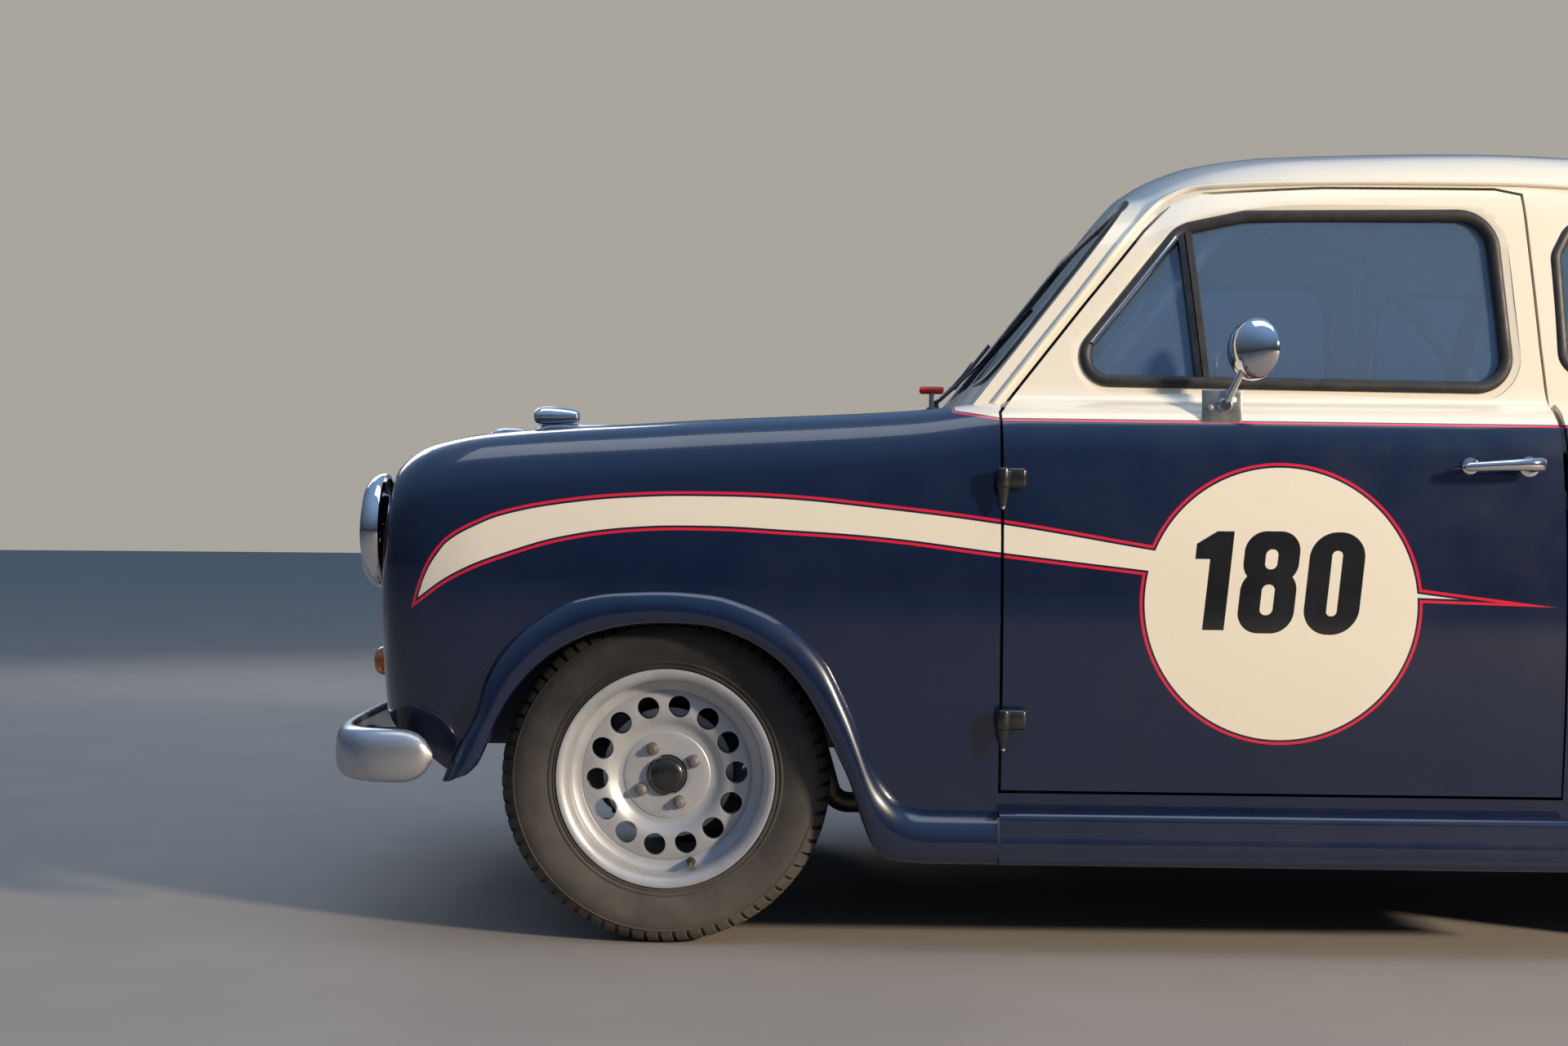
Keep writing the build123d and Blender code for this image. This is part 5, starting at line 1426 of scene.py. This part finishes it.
# Door furniture: black cast hinges proud of the skin, a chrome pull handle and the round mirror on its plate.
# The plate is screwed to the door top; the mirror's glass looks back and in towards the driver.
def hinge_casting(z, s, name):
    """One hinge: leaf and barrel on the door, pin and grease nipple on the wing."""
    leaf = solid_box(name + "_leaf_left", (s + 2, s + 38), (676, 711), (z, z + 33), 0.006)
    barrel = rod(name + "_barrel_left", spot(s, 706, z), spot(s, 706, z + 33), 0.0115, 32, None, 0.003, 3)
    pin = rod(name + "_pin_left", spot(s, 704.5, z + 2), spot(s, 704.5, z - 30), 0.0108, 28, 0.0052)
    nipple = spun(name + "_nipple_left", [(0, -4), (3, -3), (3.6, 0), (2, 3), (0, 4)], (0, 0, 0), 16)
    nipple.data.transform(Matrix.Translation(spot(s, 704.5, z - 32)))
    for piece, bodies, material in ((leaf, DOORS, black_enamel), (barrel, DOORS, black_enamel),
                                    (pin, "root", black_enamel), (nipple, "root", cage_paint)):
        both(piece, bodies, "black_steel", material)


hinge_casting(763, 547, "upper_hinge")
hinge_casting(369, 552, "lower_hinge")

HANDLE = [(1294, 714, 806, 1, 1.5), (1296, 715, 806, 4, 5), (1303, 717, 806.5, 6, 7.5),
          (1330, 721, 808, 6, 8), (1370, 722, 810, 6, 9), (1400, 720, 811.5, 6.5, 10.5),
          (1418, 716, 812, 6.5, 11.5), (1426, 712, 812, 5, 11), (1429, 709, 812, 1.5, 5)]
handle = carried("door_handle_left", HANDLE)
both(handle, DOORS, "bright_chrome", chrome)
for s, radius in ((1314, 9), (1411, 12)):
    skin_y = cabin_width(s, 809)
    post = rod(f"handle_post_{s}_left", spot(s, skin_y - 3, 809), spot(s, 717, 809), radius * MM, 28,
               radius * 0.75 * MM)
    both(post, DOORS, "bright_chrome", chrome)
    rose = rod(f"handle_rose_{s}_left", spot(s, skin_y - 2, 809), spot(s, skin_y + 3.5, 809),
               (radius + 5) * MM, 36, None, 0.0015)
    both(rose, DOORS, "bright_chrome", chrome)

plate = solid_box("mirror_plate_left", (877, 943), (657, 661), (843, 930), 0.0012)
bpy.ops.mesh.primitive_cylinder_add(vertices=24, radius=0.005, depth=0.03, location=(at(930), 0.659, 0.914),
                                    rotation=(math.pi / 2, 0, 0))
cut(plate, bpy.context.object, "DIFFERENCE")
both(plate, DOORS, "bright_chrome", brushed_plate)
both(solid_box("mirror_bracket_left", (903, 927), (636, 658), (846, 872), 0.002), DOORS, "bright_chrome",
     brushed_plate)
for i, (s, z) in enumerate(((890, 860), (890, 900))):
    screw = rod(f"mirror_screw_{i}_left", spot(s, 660, z), spot(s, 664, z), 0.0055, 24, None, 0.001)
    both(screw, DOORS, "bright_chrome", bare_steel)
MIRROR = (FORWARD - 949, 690, 996)
both(rod("mirror_stalk_left", spot(915, 659, 905), spot(946, 686, 978), 0.0075, 28, 0.0045), DOORS,
     "bright_chrome", chrome)
both(rod("mirror_foot_left", spot(915, 656, 905), spot(915, 668, 905), 0.015, 32, 0.009), DOORS,
     "bright_chrome", chrome)
head = turned("mirror_head_left", [(13, 0), (12.4, 14), (10.4, 26), (7, 36), (2.4, 44), (-3, 49.4),
                                   (-7.4, 51.8), (-9.4, 52), (-10.4, 50.6), (-10, 48)],
              MIRROR, 72, 0.72)
both(head, DOORS, "bright_chrome", chrome, "door_mirror_left")
silvered = turned("mirror_glass_left", [(-7, 50), (-8.6, 49.4), (-8.8, 25), (-8.8, 0)], MIRROR, 72, 0.72)
both(silvered, DOORS, "bright_chrome", chrome)


# Wipers: spindle in a rubber grommet, tapered arm and a blade with its rubber, one on each side.
# Pull of the cut-off switch: red cross bar on a steel stem with its nut, and a small knob beside it.
def bar_along(name, spots, shape, up=(0.795, 0.0, 0.607)):
    """Bar of one section, (across, up) in millimetres, through (station, side, height, size) spots."""
    points = [Vector((at(s), y * MM, z * MM)) for s, y, z, size in spots]
    rings = []
    for i, point in enumerate(points):
        way = (points[min(i + 1, len(points) - 1)] - points[max(i - 1, 0)]).normalized()
        across = way.cross(Vector(up)).normalized()
        lift = across.cross(way)
        rings.append([tuple(point + (across * a + lift * u) * spots[i][3] * MM) for a, u in shape])
    return ring_of(name, rings, False)


both(rod("wiper_grommet_left", spot(465, 250, 896), spot(465, 250, 909), 0.014, 36, 0.011, 0.0015), "root",
     "black_rubber", rubber)
both(rod("wiper_spindle_left", spot(465, 250, 900), spot(465, 250, 929), 0.0085, 32, 0.007, 0.0012), "root",
     "bright_chrome", black_enamel, "wipers")
arm_shape = [(-4.5, -1.5), (4.5, -1.5), (5, 0), (3.6, 2.4), (-3.6, 2.4), (-5, 0)]
arm = bar_along("wiper_arm_left", [(461, 248, 922, 1.5), (476, 256, 931, 1.5), (505, 271, 957, 1.1),
                                   (537, 288, 988, 0.9), (560, 318, 1014, 0.8),
                                   (582, 347, 1043, 0.7)], arm_shape)
both(arm, "root", "black_steel", black_enamel)
blade_line = np.linspace((541, 290, 985, 1), (623, 400, 1085, 1), 9)
blade_shape = [(-2.6, -0.5), (2.6, -0.5), (2.2, 3.2), (-2.2, 3.2)]
lip_shape = [(-0.5, -5), (0.5, -5), (1.6, -1), (1.6, 0), (-1.6, 0), (-1.6, -1)]
blade = bar_along("wiper_blade_left", blade_line, blade_shape)
both(blade, "root", "black_steel", black_enamel)
lip = bar_along("wiper_rubber_left", blade_line, lip_shape)
both(lip, "root", "black_rubber", rubber)

stem = rod("pull_stem", spot(444, 470, 886), spot(444, 470, 934), 0.0042, 24, None, 0.0006)
nut = rod("pull_nut", spot(444, 470, 897), spot(444, 470, 905), 0.0088, 6, None, 0.0008)
bar = rod("pull_bar", spot(465, 470, 934.5), spot(423, 470, 934.5), 0.0066, 32, None, 0.004, 4)
knob = rod("pull_knob", spot(478, 474, 888), spot(478, 474, 907), 0.0062, 28, 0.0075, 0.003, 4)
for piece in (stem, bar, knob):
    smoothed(piece)
for piece in (stem, nut):
    finished(piece, "root", "cast_metal", bare_steel)
for piece in (bar, knob):
    finished(piece, "root", "red_lens", red_plastic)
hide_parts("cut_off_pull")


# Tail lamps: chrome rims round domed red lenses with a moulded ring, low on the rear panel.
# The rim is pressed over the lens and holds it to the panel.
TAIL_LAMP = (FORWARD, 408, 474)
tail_rim = turned("tail_lamp_rim_left",
                  [(-2768, 33), (-2768, 37.5), (-2783, 38), (-2789, 36.6), (-2793, 33.6), (-2793.5, 32),
                   (-2791, 31)],
                  TAIL_LAMP, 72)
both(tail_rim, "root", "bright_chrome", chrome)
tail_lens = turned("tail_lens_left", [(-2770, 30), (-2790, 31.4), (-2795, 29.6), (-2796, 26),
                                      (-2799.4, 24.6), (-2802, 17), (-2803.6, 8),
                                      (-2804, 0)], TAIL_LAMP, 72)
both(tail_lens, "root", "red_lens", red_plastic, "tail_lamps")


# Driver's seat: a bucket with a dark shell, a seat cushion and a back cushion with sewn channels,
# and padded rolls along both sides that meet under the backrest.
def pad_mesh(name, origin, along, out, half, length, crown, seams, steps=56):
    """Crowned cushion with drawn-in corners and sewn seams; along and out lie in the seat's side plane."""
    start, along, out = Vector(origin), Vector(along).normalized(), Vector(out).normalized()
    across = along.cross(out)
    mesh, tops = bmesh.new(), {}
    for i in range(steps + 1):
        for j in range(steps + 1):
            u, v = 2 * i / steps - 1, 2 * j / steps - 1
            edge = max(0.0, (1 - abs(u) ** 4) * (1 - abs(v) ** 4)) ** 0.42
            sewn = sum(math.exp(-((v - seam) / 0.035) ** 2) for seam in seams)
            pull = 1 - 0.035 * (1 - abs(v)) * abs(u) ** 3
            place = start + along * (v + 1) / 2 * length * (1 - 0.02 * abs(u) ** 4) + across * u * half * pull
            high = crown * edge * (0.82 + 0.18 * math.cos(u * 1.4)) - 0.30 * crown * sewn * edge
            rim = i in (0, steps) or j in (0, steps)
            top = mesh.verts.new((place + out * high) * MM)
            tops[i, j] = (top, top if rim else mesh.verts.new((place - out * 0.28 * crown * edge) * MM))
    for i in range(steps):
        for j in range(steps):
            quad = ((i, j), (i + 1, j), (i + 1, j + 1), (i, j + 1))
            mesh.faces.new([tops[corner][0] for corner in quad])
            mesh.faces.new([tops[corner][1] for corner in reversed(quad)])
    bmesh.ops.recalc_face_normals(mesh, faces=mesh.faces)
    data = bpy.data.meshes.new(name)
    mesh.to_mesh(data)
    mesh.free()
    piece = linked(name, data)
    smoothed(piece, 80)
    return piece


SEAT_MIDDLE = -335.0
shell_line = [(1004, 176), (1004, 362), (1034, 380), (1292, 322), (1384, 888), (1421, 896), (1421, 800),
              (1326, 176)]
shell = bevelled(prism(rounded_outline(shell_line, 14), "Y", SEAT_MIDDLE - 206, SEAT_MIDDLE + 206), 0.010, 3)
shell.name = "seat_shell"
smoothed(shell)
finished(shell, "root", "seat_cloth", black_enamel)
cushion = pad_mesh("seat_cushion", (FORWARD - 1014, SEAT_MIDDLE, 372), (-254, 0, -44),
                   (-0.17, 0, 0.985), 148, 262, 24, (-0.5, 0.0, 0.5))
back = pad_mesh("seat_back_pad", (FORWARD - 1294, SEAT_MIDDLE, 352), (-86, 0, 520),
                (0.987, 0, 0.163), 148, 520, 26, (-0.7, -0.42, -0.14, 0.14, 0.42, 0.7))
roll_round = [(26 * math.cos(t), 24 * math.sin(t)) for t in np.linspace(0, math.tau, 24, endpoint=False)]
pads = [cushion, back]
for side, sign in (("left", 1), ("right", -1)):
    y = SEAT_MIDDLE + sign * 180
    spots = [(1010, y, 366, 0.45), (1018, y, 369, 0.85), (1060, y, 368, 1.0), (1160, y, 350, 1.0),
             (1250, y, 342, 1.0), (1290, y, 366, 1.0), (1306, y, 430, 1.0), (1330, y, 580, 1.0),
             (1356, y, 740, 1.0), (1374, y, 850, 0.95), (1381, y, 882, 0.7), (1383, y, 892, 0.4)]
    line = through_rows(np.array([(k, *spot) for k, spot in enumerate(spots)], float),
                        np.linspace(0, len(spots) - 1, 60))
    pads.append(bar_along(f"seat_roll_{side}", [tuple(row) for row in line], roll_round, (0.0, 1.0, 0.0)))
for pad in pads:
    smoothed(pad, 80)
    finished(pad, "root", "seat_cloth", trim_cloth)
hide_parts("driver_seat")


# Steering wheel: leather-bound rim, three drilled alloy spokes and a turned hub.
# Three dials with chrome rims stand in the dashboard beside it.
wheel_axis = Vector((-0.92, 0, 0.39)).normalized()
wheel_down = wheel_axis.cross(Vector((0, 1, 0)))
wheel_frame = Matrix((Vector((0, 1, 0)), wheel_down, wheel_axis)).transposed().to_4x4()
wheel_frame.translation = Vector((at(868), -0.335, 0.862)) + wheel_axis * 0.016
bpy.ops.mesh.primitive_torus_add(major_radius=0.172, minor_radius=0.0112, major_segments=96,
                                 minor_segments=20)
wheel_rim = bpy.context.object
wheel_rim.name = "steering_rim"
spokes = []
for turn in (90, 210, 330):
    bpy.ops.mesh.primitive_cube_add(size=1)
    spoke = bpy.context.object
    spoke.data.transform(Matrix.Translation((0.092, 0, 0)) @ Matrix.Diagonal((0.155, 0.022, 0.0034, 1)))
    bevelled(spoke, 0.0012, 2)
    for reach, radius in ((0.052, 0.0075), (0.078, 0.0065), (0.102, 0.0058), (0.125, 0.005)):
        bpy.ops.mesh.primitive_cylinder_add(vertices=28, radius=radius, depth=0.02, location=(reach, 0, 0))
        cut(spoke, bpy.context.object, "DIFFERENCE")
    spoke.data.transform(Matrix.Rotation(math.radians(turn), 4, "Z"))
    spokes.append(spoke)
spoke_set = merged("steering_spokes", spokes)
hub = spun("steering_hub", [(0, 20), (11, 19.4), (17, 17), (20, 12), (24, 5), (26, 0), (26, -20), (22, -40),
                            (13, -44)], (0, 0, 0), 64)
hub.data.transform(Matrix.Rotation(math.pi / 2, 4, "X"))
for piece, slot, material in ((wheel_rim, "black_rubber", rubber),
                              (spoke_set, "bright_chrome", brushed_plate),
                              (hub, "bright_chrome", black_enamel)):
    piece.data.transform(wheel_frame)
    smoothed(piece)
    finished(piece, "steering_wheel", slot, material)
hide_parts("steering_wheel")
DIAL_Z = 816
for name, y, radius in (("speed", -235, 34), ("revs", -140, 34), ("heat", -62, 24)):
    bezel = turned(f"dial_rim_{name}",
                   [(-666, radius), (-671, radius + 0.5), (-674, radius - 1), (-674, radius - 3),
                    (-671, radius - 4)],
                   (FORWARD, y, DIAL_Z), 56)
    face = turned(f"dial_face_{name}",
                  [(-669, radius - 3), (-670.5, radius - 4), (-670.5, 5), (-672.5, 4), (-673, 0)],
                  (FORWARD, y, DIAL_Z), 56)
    for piece, material in ((bezel, chrome), (face, black_enamel)):
        smoothed(piece)
        finished(piece, "root", "bright_chrome" if material is chrome else "black_rubber", material)
